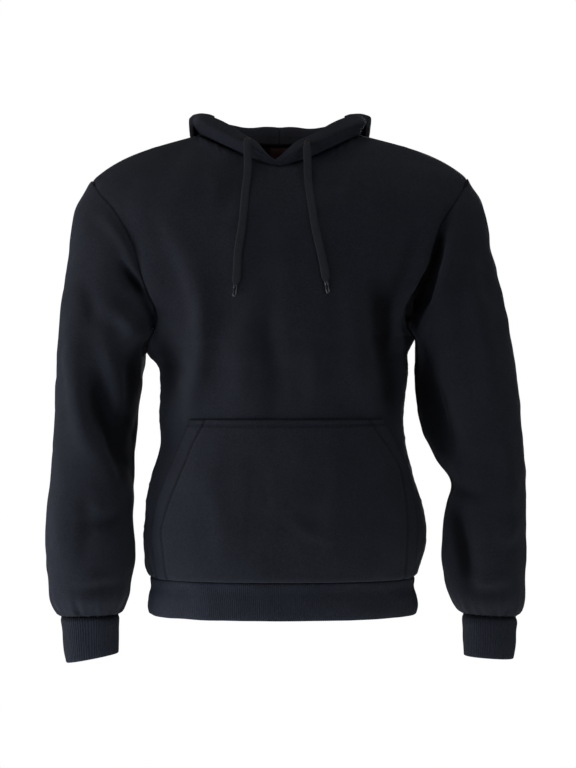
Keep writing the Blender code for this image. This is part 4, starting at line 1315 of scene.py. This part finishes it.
class Nodes:
    """Short calls for building a material's nodes."""

    def __init__(self, name):
        self.material = bpy.data.materials.new(name)
        self.material.use_nodes = True
        self.tree = self.material.node_tree
        self.shader = self.tree.nodes["Principled BSDF"]

    def node(self, kind, **settings):
        made = self.tree.nodes.new(kind)
        for key, value in settings.items():
            setattr(made, key, value)
        return made

    def put(self, socket, value):
        if isinstance(value, bpy.types.NodeSocket):
            self.tree.links.new(value, socket)
        else:
            socket.default_value = value

    def uv(self):
        """The place on the cloth in metres: as a vector, across and up."""
        place = self.node("ShaderNodeUVMap", uv_map="cloth").outputs["UV"]
        split = self.node("ShaderNodeSeparateXYZ")
        self.put(split.inputs[0], place)
        return place, split.outputs["X"], split.outputs["Y"]

    def place(self):
        return self.node("ShaderNodeTexCoord").outputs["Object"]

    def painted(self, word):
        return self.node("ShaderNodeAttribute", attribute_name=word).outputs["Fac"]

    def math(self, operation, a, b=0.0, c=0.0):
        made = self.node("ShaderNodeMath", operation=operation)
        for socket, value in zip(made.inputs, (a, b, c)):
            self.put(socket, value)
        return made.outputs[0]

    def times(self, a, b):
        return self.math("MULTIPLY", a, b)

    def plus(self, a, b):
        return self.math("ADD", a, b)

    def wave(self, value, length):
        """A sine that repeats after that length."""
        return self.math("SINE", self.times(value, 2 * math.pi / length))

    def noise(self, where, scale, detail=2.0, roughness=0.5):
        made = self.node("ShaderNodeTexNoise")
        for key, value in (("Vector", where), ("Scale", scale), ("Detail", detail), ("Roughness", roughness)):
            self.put(made.inputs[key], value)
        return made.outputs["Fac"]

    def spread(self, value, low, high, from_low=0.3, from_high=0.7):
        """The value moved from one range into another."""
        made = self.node("ShaderNodeMapRange")
        ends = {"From Min": from_low, "From Max": from_high, "To Min": low, "To Max": high}
        for key, number in ends.items():
            self.put(made.inputs[key], number)
        self.put(made.inputs["Value"], value)
        return made.outputs["Result"]

    def mix(self, share, a, b):
        """A blend of two colours."""
        made = self.node("ShaderNodeMix", data_type="RGBA")
        self.put(made.inputs["Factor"], share)
        self.put(made.inputs[6], (*a, 1.0))
        self.put(made.inputs[7], (*b, 1.0))
        return made.outputs[2]

    def scaled(self, colour, share):
        """The colour made lighter or darker."""
        made = self.node("ShaderNodeVectorMath", operation="SCALE")
        self.put(made.inputs[0], colour)
        self.put(made.inputs["Scale"], share)
        return made.outputs[0]

    def bump(self, height, distance, strength=1.0, below=None):
        made = self.node("ShaderNodeBump")
        for key, value in (("Distance", distance), ("Strength", strength), ("Height", height)):
            self.put(made.inputs[key], value)
        if below is not None:
            self.put(made.inputs["Normal"], below)
        return made.outputs["Normal"]

    def finish(self, colour, roughness, normal=None, **fixed):
        self.put(self.shader.inputs["Base Color"], colour)
        self.put(self.shader.inputs["Roughness"], roughness)
        if normal is not None:
            self.put(self.shader.inputs["Normal"], normal)
        for key, value in fixed.items():
            self.shader.inputs[key.replace("_", " ")].default_value = value
        return self.material


def tinted(colour, *shares):
    """The colour times one share, or times a share for each of its parts."""
    return tuple(c * k for c, k in zip(colour, shares if len(shares) == 3 else shares * 3))


def cloth(name):
    """Knitted cotton: a V-shaped stitch, a raised pile, heathered colour, worn seams, and shade painted
    darker in folds and seam grooves.
    """
    colour, wale, course, deep, pile, sheen = CLOTHS[name]
    m = Nodes(name)
    _, across, up = m.uv()
    place = m.place()
    in_wale = m.math("FRACT", m.times(across, 1 / wale))
    from_middle = m.math("ABSOLUTE", m.math("SUBTRACT", in_wale, 0.5))
    loops = m.wave(m.plus(m.times(up, 1 / course), m.times(from_middle, 1.6)), 1)
    knit = m.times(m.wave(in_wale, 2), m.plus(m.times(loops, 0.3), 0.7))
    fuzz = m.noise(place, 1400, 3.0, 0.6)
    pilled = m.noise(place, 260, 3.0, 0.55)
    normal = m.bump(fuzz, pile * 0.5, 0.8, m.bump(knit, deep))
    normal = m.bump(pilled, pile, 0.7, normal)
    heather = m.spread(m.noise(place, 420, 4.0, 0.7), 0.72, 1.34)
    washed = m.spread(m.noise(place, 14, 3.0, 0.55), 0.92, 1.09)
    rubbed = m.times(m.painted("wear"), m.spread(m.noise(place, 90, 3.0, 0.6), 0.3, 1.0))
    shade = m.times(m.times(heather, washed), m.plus(m.times(rubbed, 0.16), 1.0))
    # Painted shade: the colour is darker the deeper the point lies in a fold or a seam's groove
    shade = m.times(shade, m.plus(m.times(m.painted("painted_hollow_shade"), -PAINTED_SHADE_DARK), 1.0))
    shade = m.times(shade, m.spread(knit, 0.86, 1.06, 0.0, 1.0))
    base = m.mix(m.noise(place, 650, 2.0), colour, tinted(colour, 1.06, 1.0, 0.94))
    return m.finish(
        m.scaled(base, shade),
        m.spread(pilled, 0.86, 0.97),
        normal,
        Specular_IOR_Level=0.12,
        Sheen_Weight=sheen,
        Sheen_Roughness=0.45,
        Sheen_Tint=SHEEN_TINT,
    )


def braid(name, colour):
    """A flat braided cord: bands of threads that cross from both edges to the middle."""
    m = Nodes(name)
    uv, across, up = m.uv()
    slant = m.plus(m.times(up, 1 / BRAID_STRAND), m.times(m.math("ABSOLUTE", across), BRAID_SLANT))
    weave = m.plus(m.times(m.wave(slant, 1), 0.32), m.times(m.wave(across, BRAID_COLUMN), 0.18))
    weave = m.plus(weave, 0.5)
    fuzz = m.noise(uv, 1500, 3.0)
    shade = m.times(m.spread(weave, 0.72, 1.18, 0.0, 1.0), m.spread(m.noise(uv, 160, 3.0), 0.88, 1.12))
    return m.finish(
        m.scaled(m.mix(fuzz, colour, tinted(colour, 1.12)), shade),
        m.spread(fuzz, 0.72, 0.9),
        m.bump(fuzz, 0.00008, 0.8, m.bump(weave, 0.00035)),
        Specular_IOR_Level=0.2,
        Sheen_Weight=0.06,
        Sheen_Roughness=0.4,
    )


def satin(name, colour):
    """A woven label: fine warp threads, closer crossings and a soft shine."""
    m = Nodes(name)
    uv, across, up = m.uv()
    weave = m.plus(m.times(m.times(m.wave(across, WARP), m.wave(up, WEFT)), 0.4), 0.5)
    shade = m.times(m.spread(weave, 0.8, 1.15, 0.0, 1.0), m.spread(m.noise(uv, 300, 2.0), 0.85, 1.12))
    return m.finish(
        m.scaled(m.mix(weave, colour, tinted(colour, 1.2)), shade),
        m.spread(m.noise(uv, 700, 2.0), 0.5, 0.68),
        m.bump(weave, 0.00006),
        Specular_IOR_Level=0.3,
        Sheen_Weight=0.05,
    )


def metal(name, colour, rough):
    """Plated metal with fine scratches and a dulled, slightly pitted surface."""
    m = Nodes(name)
    place = m.place()
    stretch = m.node("ShaderNodeMapping")
    m.put(stretch.inputs["Vector"], place)
    m.put(stretch.inputs["Scale"], (1.0, 1.0, 0.08))
    lines = m.noise(stretch.outputs["Vector"], 5200, 3.0, 0.6)
    spots = m.noise(place, 900, 3.0, 0.6)
    shade = m.times(m.spread(spots, 0.82, 1.05), m.spread(lines, 0.92, 1.06))
    return m.finish(
        m.scaled(m.mix(spots, colour, tinted(colour, 0.85)), shade),
        m.spread(spots, rough * 0.8, rough * 1.35),
        m.bump(lines, SCRATCH, 0.6, m.bump(spots, SCRATCH * 2, 0.4)),
        Metallic=1.0,
    )


def plain_floor(name):
    """A pale, faintly uneven studio floor."""
    m = Nodes(name)
    tone = m.spread(m.noise(m.place(), 3.0, 3.0), 0.98, 1.0)
    m.put(m.shader.inputs["Emission Color"], WHITE)
    m.put(m.shader.inputs["Emission Strength"], FLOOR_GLOW)
    return m.finish(m.scaled(m.mix(0.5, FLOOR_GREY, FLOOR_GREY), tone), 0.9)


# Drawcord


def frames_along(line):
    """Across and outward directions along a cord that lies flat on a garment's front."""
    forward = np.array((0.0, -1.0, 0.0))
    way = unit(np.gradient(line, axis=0))
    out = unit(forward - way * (way @ forward)[:, None])
    for _ in range(FRAME_SMOOTHINGS):
        out[1:-1] = unit(out[:-2] + out[1:-1] * 2 + out[2:])
    across = unit(np.cross(way, out))
    return across, unit(np.cross(across, way))


def cord(side, material):
    """A flat braided cord with a slightly waved edge, narrow in its eyelet and in its tip."""
    route = np.array(CORD_ROUTES[side], float) * MM
    line = along_line(route, CORD_STEPS)
    line = np.concatenate([line, line[-1:] + unit(route[-1] - route[-2]) * CORD_INTO_TIP])
    across, out = frames_along(line)
    run = run_of(line)
    from_end = np.minimum(run, run[-1] - run)
    wide = CORD_WIDE * (CORD_END_SHARE + (1 - CORD_END_SHARE) * ease(from_end, 0, CORD_NARROW))
    rng = np.random.default_rng(CORD_SEED + side)
    sways = [np.sin(run / (CORD_SWAY_LONG * k) + rng.uniform(0, FULL_TURN)) for k in CORD_SWAYS]
    wide = wide * (1 + CORD_SWAY * sum(sways) / len(sways))
    flat, deep = rounded(turns_of(CORD_SIDES), *CORD_SQUARENESS)
    middle, edge = CORD_EDGE_THIN
    thick = CORD_THICK * (middle - edge * np.abs(flat) ** 4) * (1 - CORD_WAIST * (1 - np.abs(flat)) ** 2)
    aside = flat[None, :] * wide[:, None] / 2
    places = line[:, None, :] + across[:, None, :] * aside[..., None]
    places = places + out[:, None, :] * (deep * thick / 2)[None, :, None]
    uvs = np.stack([aside, np.repeat(run[:, None], CORD_SIDES, axis=1)], axis=-1).reshape(-1, 2)
    faces = tube_faces(len(line), CORD_SIDES)
    return turned_part("drawcord_" + WORDS[side], places, faces, material, uvs), line, run[-1]


def eyelet(side, material, dark):
    """A rolled metal eyelet with a disc of painted shadow in its hole, set in the hood's cloth."""
    place, normal = (np.array(value, float) for value in EYELETS[side])
    turn = turns_of(EYELET_SEGMENTS)
    facing = np.array(Vector(unit(normal)).to_track_quat("Z", "Y").to_matrix())

    def rings(section):
        circles = [(np.cos(turn) * away, np.sin(turn) * away, 0 * turn + high) for away, high in section]
        return [np.stack(circle, axis=1) * MM @ facing.T + place * MM for circle in circles]

    faces = tube_faces(len(EYELET_SECTION), EYELET_SEGMENTS, False)
    back = (len(EYELET_SECTION) - 1) * EYELET_SEGMENTS
    for j in range(EYELET_SEGMENTS):
        k = (j + 1) % EYELET_SEGMENTS
        faces.append((back + j, back + k, k, j))
    piece = turned_part("cord_eyelet_" + WORDS[side], rings(EYELET_SECTION), faces, material)
    # A nearly black disc in the hole: painted shadow
    hole_faces = tube_faces(2, EYELET_SEGMENTS)
    turned_part("eyelet_shadow_disc_" + WORDS[side], rings(EYELET_SHADOW_DISC), hole_faces, dark)
    return piece


def cord_tip(side, material):
    """A pinched metal tip that holds the cord's end."""
    route = np.array(CORD_ROUTES[side], float) * MM
    way = unit(route[-1] - route[-2])
    out = unit(np.cross(way, (1.0, 0.0, 0.0)))
    across = unit(np.cross(out, way))
    start = route[-1] + way * TIP_GAP
    flat, deep = rounded(turns_of(TIP_SEGMENTS), TIP_SQUARENESS, TIP_SQUARENESS)
    rings = []
    for along, wide, thick in TIP_SECTION:
        sideways = across * (flat * wide * TIP_WIDE / 2)[:, None]
        rings.append(start + way * along * MM + sideways + out * (deep * thick * TIP_THICK / 2)[:, None])
    return turned_part("cord_tip_" + WORDS[side], rings, tube_faces(len(rings), TIP_SEGMENTS), material)


# The garment


def waistband(hem):
    """The waistband's outer face on many columns, from its folded edge up to the hem seam."""
    loop = np.concatenate([hem, hem[:1]])
    run = run_of(loop)
    even = read(np.linspace(0, run[-1], BAND_COLUMNS, endpoint=False), run, loop)
    up = np.linspace(HEM_EDGE, HEM_SEAM, RIB_ROWS)
    scale = smooth(up, WAISTBAND["up"], WAISTBAND["wider"] / MM)
    points = np.repeat(even[None, :, :], RIB_ROWS, axis=0)
    points[..., :2] *= scale[:, None, None]
    points[..., 2] += (up - HEM_SEAM)[:, None]
    return points


def cuff(side, seam):
    """A cuff's outer face on many columns, between the cuff seam and its folded edge."""
    turn = np.linspace(0, 2 * math.pi, CUFF_COLUMNS, endpoint=False)
    points = ring(rings_of(CUFFS[side], RIB_ROWS), turn, side)
    own = np.linspace(0, 2 * math.pi, len(seam) + 1)
    points[0] = read(turn, own, np.concatenate([seam, seam[:1]]))
    return facing_out(points, side)


def ribs(points, count):
    """Fine upright ribs all round a tube."""
    return RIB_HEIGHT * (np.cos(turns_of(points.shape[1]) * count)[None, :] - 1) + 0 * points[..., 0]


def sewn_lines(points):
    """How near the pocket's rows of stitches each of its points lies, 1 on a row."""
    far = [(from_edge(points, edge) - distance) / SEWN_DOWN[1] for edge, distance in POCKET_HEMS]
    return sum(np.exp(-(share**2)) for share in far)


def pocket_painted_shade(points):
    """How much shade is painted on the pocket along its stitches and its edges, from 0 to 1."""
    near = sewn_lines(points)
    for edge, wide in POCKET_EDGES:
        near = near + POCKET_EDGE_SHADE * np.exp(-((from_edge(points, edge) / wide) ** 2))
    return np.clip(POCKET_SHADE_STRENGTH * near, 0, 1)


def front_lift(base, up):
    """How far the front's cloth under the pocket stands off its plain form."""
    swell = ripple(base, SWELL_SIZE, SWELL, SWELL_SEED)
    swell = swell * ease(up, POCKET_BOTTOM, POCKET_BOTTOM + POCKET_SWELL_FROM)
    return swell - HEM_DIP[0] * groove((up - POCKET_BOTTOM) / HEM_DIP[1])


def pocket():
    """The pocket's outer face, made from the front's own surface and moved out."""
    up = np.linspace(POCKET_BOTTOM, POCKET_TOP, POCKET_ROWS)[:, None]
    even = np.linspace(-1, 1, POCKET_COLUMNS)[None, :]
    t = (POCKET_EVEN * even + (1 - POCKET_EVEN) * np.sin(even * math.pi / 2) + 1) / 2
    right, left = (smooth(up, POCKET["up"], POCKET[word]) for word in WORDS)
    across = -right * (1 - t) + left * t
    up = up + 0 * t
    half_right, half_left = (smooth(up, SIDES["up"], SIDES[word]) for word in WORDS)
    u = (2 * across + half_right - half_left) / (half_right + half_left)
    depth = depth_at(FRONT, u, up, 0.0, 0.0)
    depth = depth - fold_height(FRONT_FOLDS, across, up) * (1 - np.abs(u) ** FOLD_SIDE_POWER)
    base = np.stack([across, depth, up], axis=-1)
    normals = grid_normals(base, False)
    base = base + normals * front_lift(base, up)[..., None]
    rise = (up - POCKET_BOTTOM) / (POCKET_TOP - POCKET_BOTTOM)
    belly, belly_power = POCKET_BELLY
    off = POCKET_OFF + POCKET_CLOTH + belly * np.sin(math.pi * rise) ** belly_power
    off = off + np.maximum(fold_height(POCKET_FOLDS, across, up), POCKET_LEAST_FOLD)
    return base + normals * (off - SEWN_DOWN[0] * sewn_lines(base))[..., None]


def label(back_inside):
    """The blank neck label's inner face, hung below the back neck seam inside the back panel."""
    tree = tree_of(back_inside)
    top = BACK_NECK_UP - LABEL_BELOW_SEAM
    points = np.zeros((LABEL_ROWS, LABEL_COLUMNS, 3))
    for i, up in enumerate(np.linspace(top - LABEL_LONG, top, LABEL_ROWS)):
        for j, across in enumerate(np.linspace(-LABEL_WIDE / 2, LABEL_WIDE / 2, LABEL_COLUMNS)):
            hit = tree.ray_cast(Vector((across, 0, up)), Vector((0, 1, 0)))[0]
            points[i, j] = (across, hit.y - LABEL_OFF - LABEL_CLOTH, up)
    return points


def neckline(side, front, back):
    """The neck seam's points on one side, from the middle of the front to the middle of the back."""
    middle = (SHOULDER_COLUMNS + NECK_COLUMNS // 2) * FINE
    point = (SHOULDER_COLUMNS + NECK_COLUMNS) * FINE
    first = SHOULDER_COLUMNS * FINE
    if side == LEFT:
        return np.concatenate([front[-1, middle : point + 1], back[-1, first + 1 : middle + 1]])
    return np.concatenate([front[-1, first : middle + 1][::-1], back[-1, middle:point][::-1]])


def armhole(side, front, back):
    """The armhole seam's points: the shoulder tip, down the front, the underarm, up the back."""
    low = (SIDE_ROWS - 1) * FINE
    front_end, back_end = (0, -1) if side == RIGHT else (-1, 0)
    return np.concatenate([front[low:, front_end][::-1], back[low + 1 : -1, back_end]])


def lift_of(points, seams, puckers):
    """How far a piece's cloth stands off its plain form: swells, drawn-in seams and gathers."""
    finer, lower, seed = SMALL_SWELL
    swell = ripple(points, SWELL_SIZE, SWELL, SWELL_SEED)
    swell = swell + ripple(points, SWELL_SIZE / finer, SWELL * lower, seed)
    drawn = 0
    for edge, (deep, wide) in seams.items():
        drawn = drawn + sink(points, edge, deep, wide)
        swell = swell * ease(from_edge(points, edge), 0, SWELL_FROM)
    return swell + drawn + sum(pucker(points, edge, *gathers) for edge, gathers in puckers.items())


def creases(points, normals, in_front, behind):
    """The creases of a table on the cloth that faces forwards, and of another on what faces backwards."""
    across, up = points[..., 0], points[..., 2]
    front = ease(-normals[..., 1], 0.0, CREASE_FACING) * fold_height(in_front, across, up)
    return front + ease(normals[..., 1], 0.0, CREASE_FACING) * fold_height(behind, across, up)


def painted_hollow_shade(name, points, normals, seams):
    """How deep in a fold or a seam's groove each point lies, from 0 to 1: how much shade is painted into its
    colour there.
    """
    across, up = points[..., 0], points[..., 2]
    lift = 0 * across
    if name in ("front", "back"):
        lift = fold_height(FRONT_FOLDS if name == "front" else BACK_FOLDS, across, up)
    elif name.startswith("sleeve"):
        side = RIGHT if name.endswith("right") else LEFT
        lift = creases(points, normals, SLEEVE_FRONT_FOLDS[side], SLEEVE_BACK_FOLDS[side])
    if not name.startswith("hood"):
        lift = lift + creases(points, normals, CREASES_FRONT, CREASES_BACK)
    deep = np.clip(-lift / SHADE_FULL_DEPTH, 0, 1) ** SHADE_DEPTH_POWER
    for edge, (low, wide) in seams.items():
        share = from_edge(points, edge) / (wide * SEAM_SHADE_WIDE)
        deep = np.maximum(deep, np.exp(-(share**2)) * min(low / SEAM_SHADE_FULL_DEPTH, 1))
    return deep


def worn(points, edges):
    """How near each point is to a seam or an edge, from 0 to 1."""
    near = np.zeros(points.shape[:2])
    for edge in edges:
        near = np.maximum(near, np.exp(-((from_edge(points, edge) / WORN_WIDE) ** 2)))
    return near


def cut_out():
    """Every piece of cloth on its plain form: its points, its thickness and whether it is a tube."""
    front, back = panel(FRONT), panel(BACK)
    hem = np.concatenate([front[0], back[0, 1:-1]])
    body = tree_of(front, back)
    pieces = {"front": [front, FLEECE, False], "back": [back, FLEECE, False]}
    pieces["waistband"] = [waistband(hem), RIB_DOUBLED, True]
    for side, word in enumerate(WORDS):
        tube = sleeve(side, armhole(side, front, back))
        pieces["sleeve_" + word] = [tube, FLEECE, True]
        pieces["cuff_" + word] = [cuff(side, facing_out(tube, side)[-1]), RIB_DOUBLED, True]
        pieces["hood_" + word] = [*hood(side, neckline(side, front, back), body), False]
    for name, edges in FINE_SEAMS.items():
        for edge in edges:
            pieces[name][0] = rows_added([pieces[name][0]], edge, SEAM_LINES)[0]
    return pieces


def normals_of(pieces):
    """The normals of every piece of cloth, alike where pieces meet at a seam."""
    normals = {name: grid_normals(points, closed) for name, (points, _, closed) in pieces.items()}
    share_normals([(pieces[name][0], normals[name], pieces[name][2]) for name in pieces])
    return normals


def build_cloth():
    """Every piece's points, thickness, closed and normals, and how deep in hollows its points lie, for the
    shade painted there.
    """
    pieces = cut_out()
    plain = normals_of(pieces)
    deep = {}
    for name, piece in pieces.items():
        seams, puckers = SEAMS[name]
        on_hood = name.startswith("hood")
        tables = (HOOD_FRONT_FOLDS, HOOD_BACK_FOLDS) if on_hood else (CREASES_FRONT, CREASES_BACK)
        lift = lift_of(piece[0], seams, puckers) + creases(piece[0], plain[name], *tables)
        if name in RIBS:
            lift = lift + ribs(piece[0], RIBS[name])
        # How deep each point lies in a fold or groove, which the shader paints as shade
        deep[name] = painted_hollow_shade(name, piece[0], plain[name], seams)
        piece[0] = piece[0] + plain[name] * lift[..., None]
    normals = normals_of(pieces)
    # On the rib the plain form's normals keep the inner face parallel to the outer one
    normals.update({name: plain[name] for name in RIBS})
    return {name: (*pieces[name], normals[name]) for name in pieces}, deep


def put_on(piece, node):
    """Hides the CAD part of the node that the piece stands for."""
    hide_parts(node)
    return piece


def dress_cloth(pieces, deep, fleece, inside, rib):
    """The panels, the waistband, the sleeves, the cuffs and the hood."""
    made = {}
    for name, (points, thick, closed, normals) in pieces.items():
        looks = [rib, rib] if name in RIBS else [fleece, fleece if name.startswith("hood") else inside]
        edges = FOLDED.get(name, ()), WORN[name]
        piece = wall("cloth_" + name, points, normals, thick, closed, looks, *edges, deep[name])
        made[name] = put_on(piece, name)
    return made


def dress_label(back):
    """The woven label at the back of the neck."""
    tab = label(back[0] - back[3] * FLEECE)
    red = satin("label", RED)
    piece = wall("woven_neck_label", tab, grid_normals(tab, False), LABEL_CLOTH, False, [red, red])
    return put_on(piece, "neck_label")


def dress_cords():
    """The eyelets, the tips and the two ends of the drawcord."""
    dark = cloth("eyelet_shadow")
    braided = braid("cord", NAVY_CORD)
    steel = metal("tip_metal", STEEL, TIP_ROUGH)
    dull = metal("eyelet_metal", GUNMETAL, EYELET_ROUGH)
    for side, word in enumerate(WORDS):
        put_on(eyelet(side, dull, dark), "eyelet_" + word)
        tip = put_on(cord_tip(side, steel), "tip_" + word)
        piece, line, long = cord(side, braided)
        put_on(piece, "cord_" + word)


def dress():
    """Makes every piece and hides the CAD parts that they stand for."""
    fleece, inside, rib = cloth("fleece"), cloth("fleece_inside"), cloth("rib")
    pieces, deep = build_cloth()
    made = dress_cloth(pieces, deep, fleece, inside, rib)
    over = pocket()
    facing = grid_normals(over, False)
    edges = FOLDED["pocket"], WORN["pocket"]
    # The pocket's shade painted along its stitches and edges
    piece = wall("cloth_pocket", over, facing, POCKET_CLOTH, False, [fleece, inside], *edges, pocket_painted_shade(over))
    made["pocket"] = put_on(piece, "pocket")
    made["neck_label"] = dress_label(pieces["back"])
    dress_cords()
    sew({**pieces, "pocket": (over, POCKET_CLOTH, False, facing)}, cloth("thread"))


def beside(pieces, name, edge, distance):
    """A row of stitches beside a piece's edge."""
    points, _, closed, normals = pieces[name]
    line, ups = line_beside(points, normals, edge, distance * MM)
    return line, ups, closed and edge.endswith("row")


def sew(pieces, thread):
    """The rows of stitches that show."""
    for name, rows in STITCHING.items():
        stitches("stitching_" + name, [beside(pieces, *row) for row in rows], thread)


# Studio


def area_light(name, at, size, power, colour):
    """A soft rectangular light that faces the garment."""
    data = bpy.data.lights.new(name, "AREA")
    data.shape = "RECTANGLE"
    data.size, data.size_y = size
    data.energy = power
    data.color = colour
    light = bpy.data.objects.new(name, data)
    bpy.context.scene.collection.objects.link(light)
    light.location = at
    light.rotation_euler = (Vector(AIM) - Vector(at)).to_track_quat("-Z", "Y").to_euler()


def surround(scene):
    """A white background, and a much fainter light from all round."""
    world = bpy.data.worlds.new("surround")
    scene.world = world
    world.use_nodes = True
    nodes, links = world.node_tree.nodes, world.node_tree.links
    nodes.clear()
    output, mix, path = (nodes.new("ShaderNode" + kind) for kind in ("OutputWorld", "MixShader", "LightPath"))
    for place, strength, colour in ((1, AMBIENT, AMBIENT_COLOUR), (2, BACKGROUND, WHITE)):
        shade = nodes.new("ShaderNodeBackground")
        shade.inputs["Strength"].default_value = strength
        shade.inputs["Color"].default_value = colour
        links.new(shade.outputs[0], mix.inputs[place])
    links.new(path.outputs["Is Camera Ray"], mix.inputs[0])
    links.new(mix.outputs[0], output.inputs["Surface"])


def studio():
    """A white surround, a pale floor, soft lights and the camera."""
    scene = bpy.context.scene
    surround(scene)
    work = bmesh.new()
    bmesh.ops.create_circle(work, cap_ends=True, segments=FLOOR_SEGMENTS, radius=FLOOR_RADIUS)
    mesh = bpy.data.meshes.new("studio_floor")
    work.to_mesh(mesh)
    work.free()
    floor = bpy.data.objects.new("studio_floor", mesh)
    floor.location = (0, 0, FLOOR_UP)
    mesh.materials.append(plain_floor("studio_floor"))
    scene.collection.objects.link(floor)
    for light in LIGHTS:
        area_light(*light)
    data = bpy.data.cameras.new("view")
    data.lens = LENS
    data.sensor_width = SENSOR
    camera = bpy.data.objects.new("view", data)
    camera.location = CAMERA_AT
    camera.rotation_euler = (math.radians(90), 0, 0)
    scene.collection.objects.link(camera)
    scene.camera = camera
    scene.view_settings.view_transform = "Standard"
    scene.view_settings.look = "None"


dress()
studio()
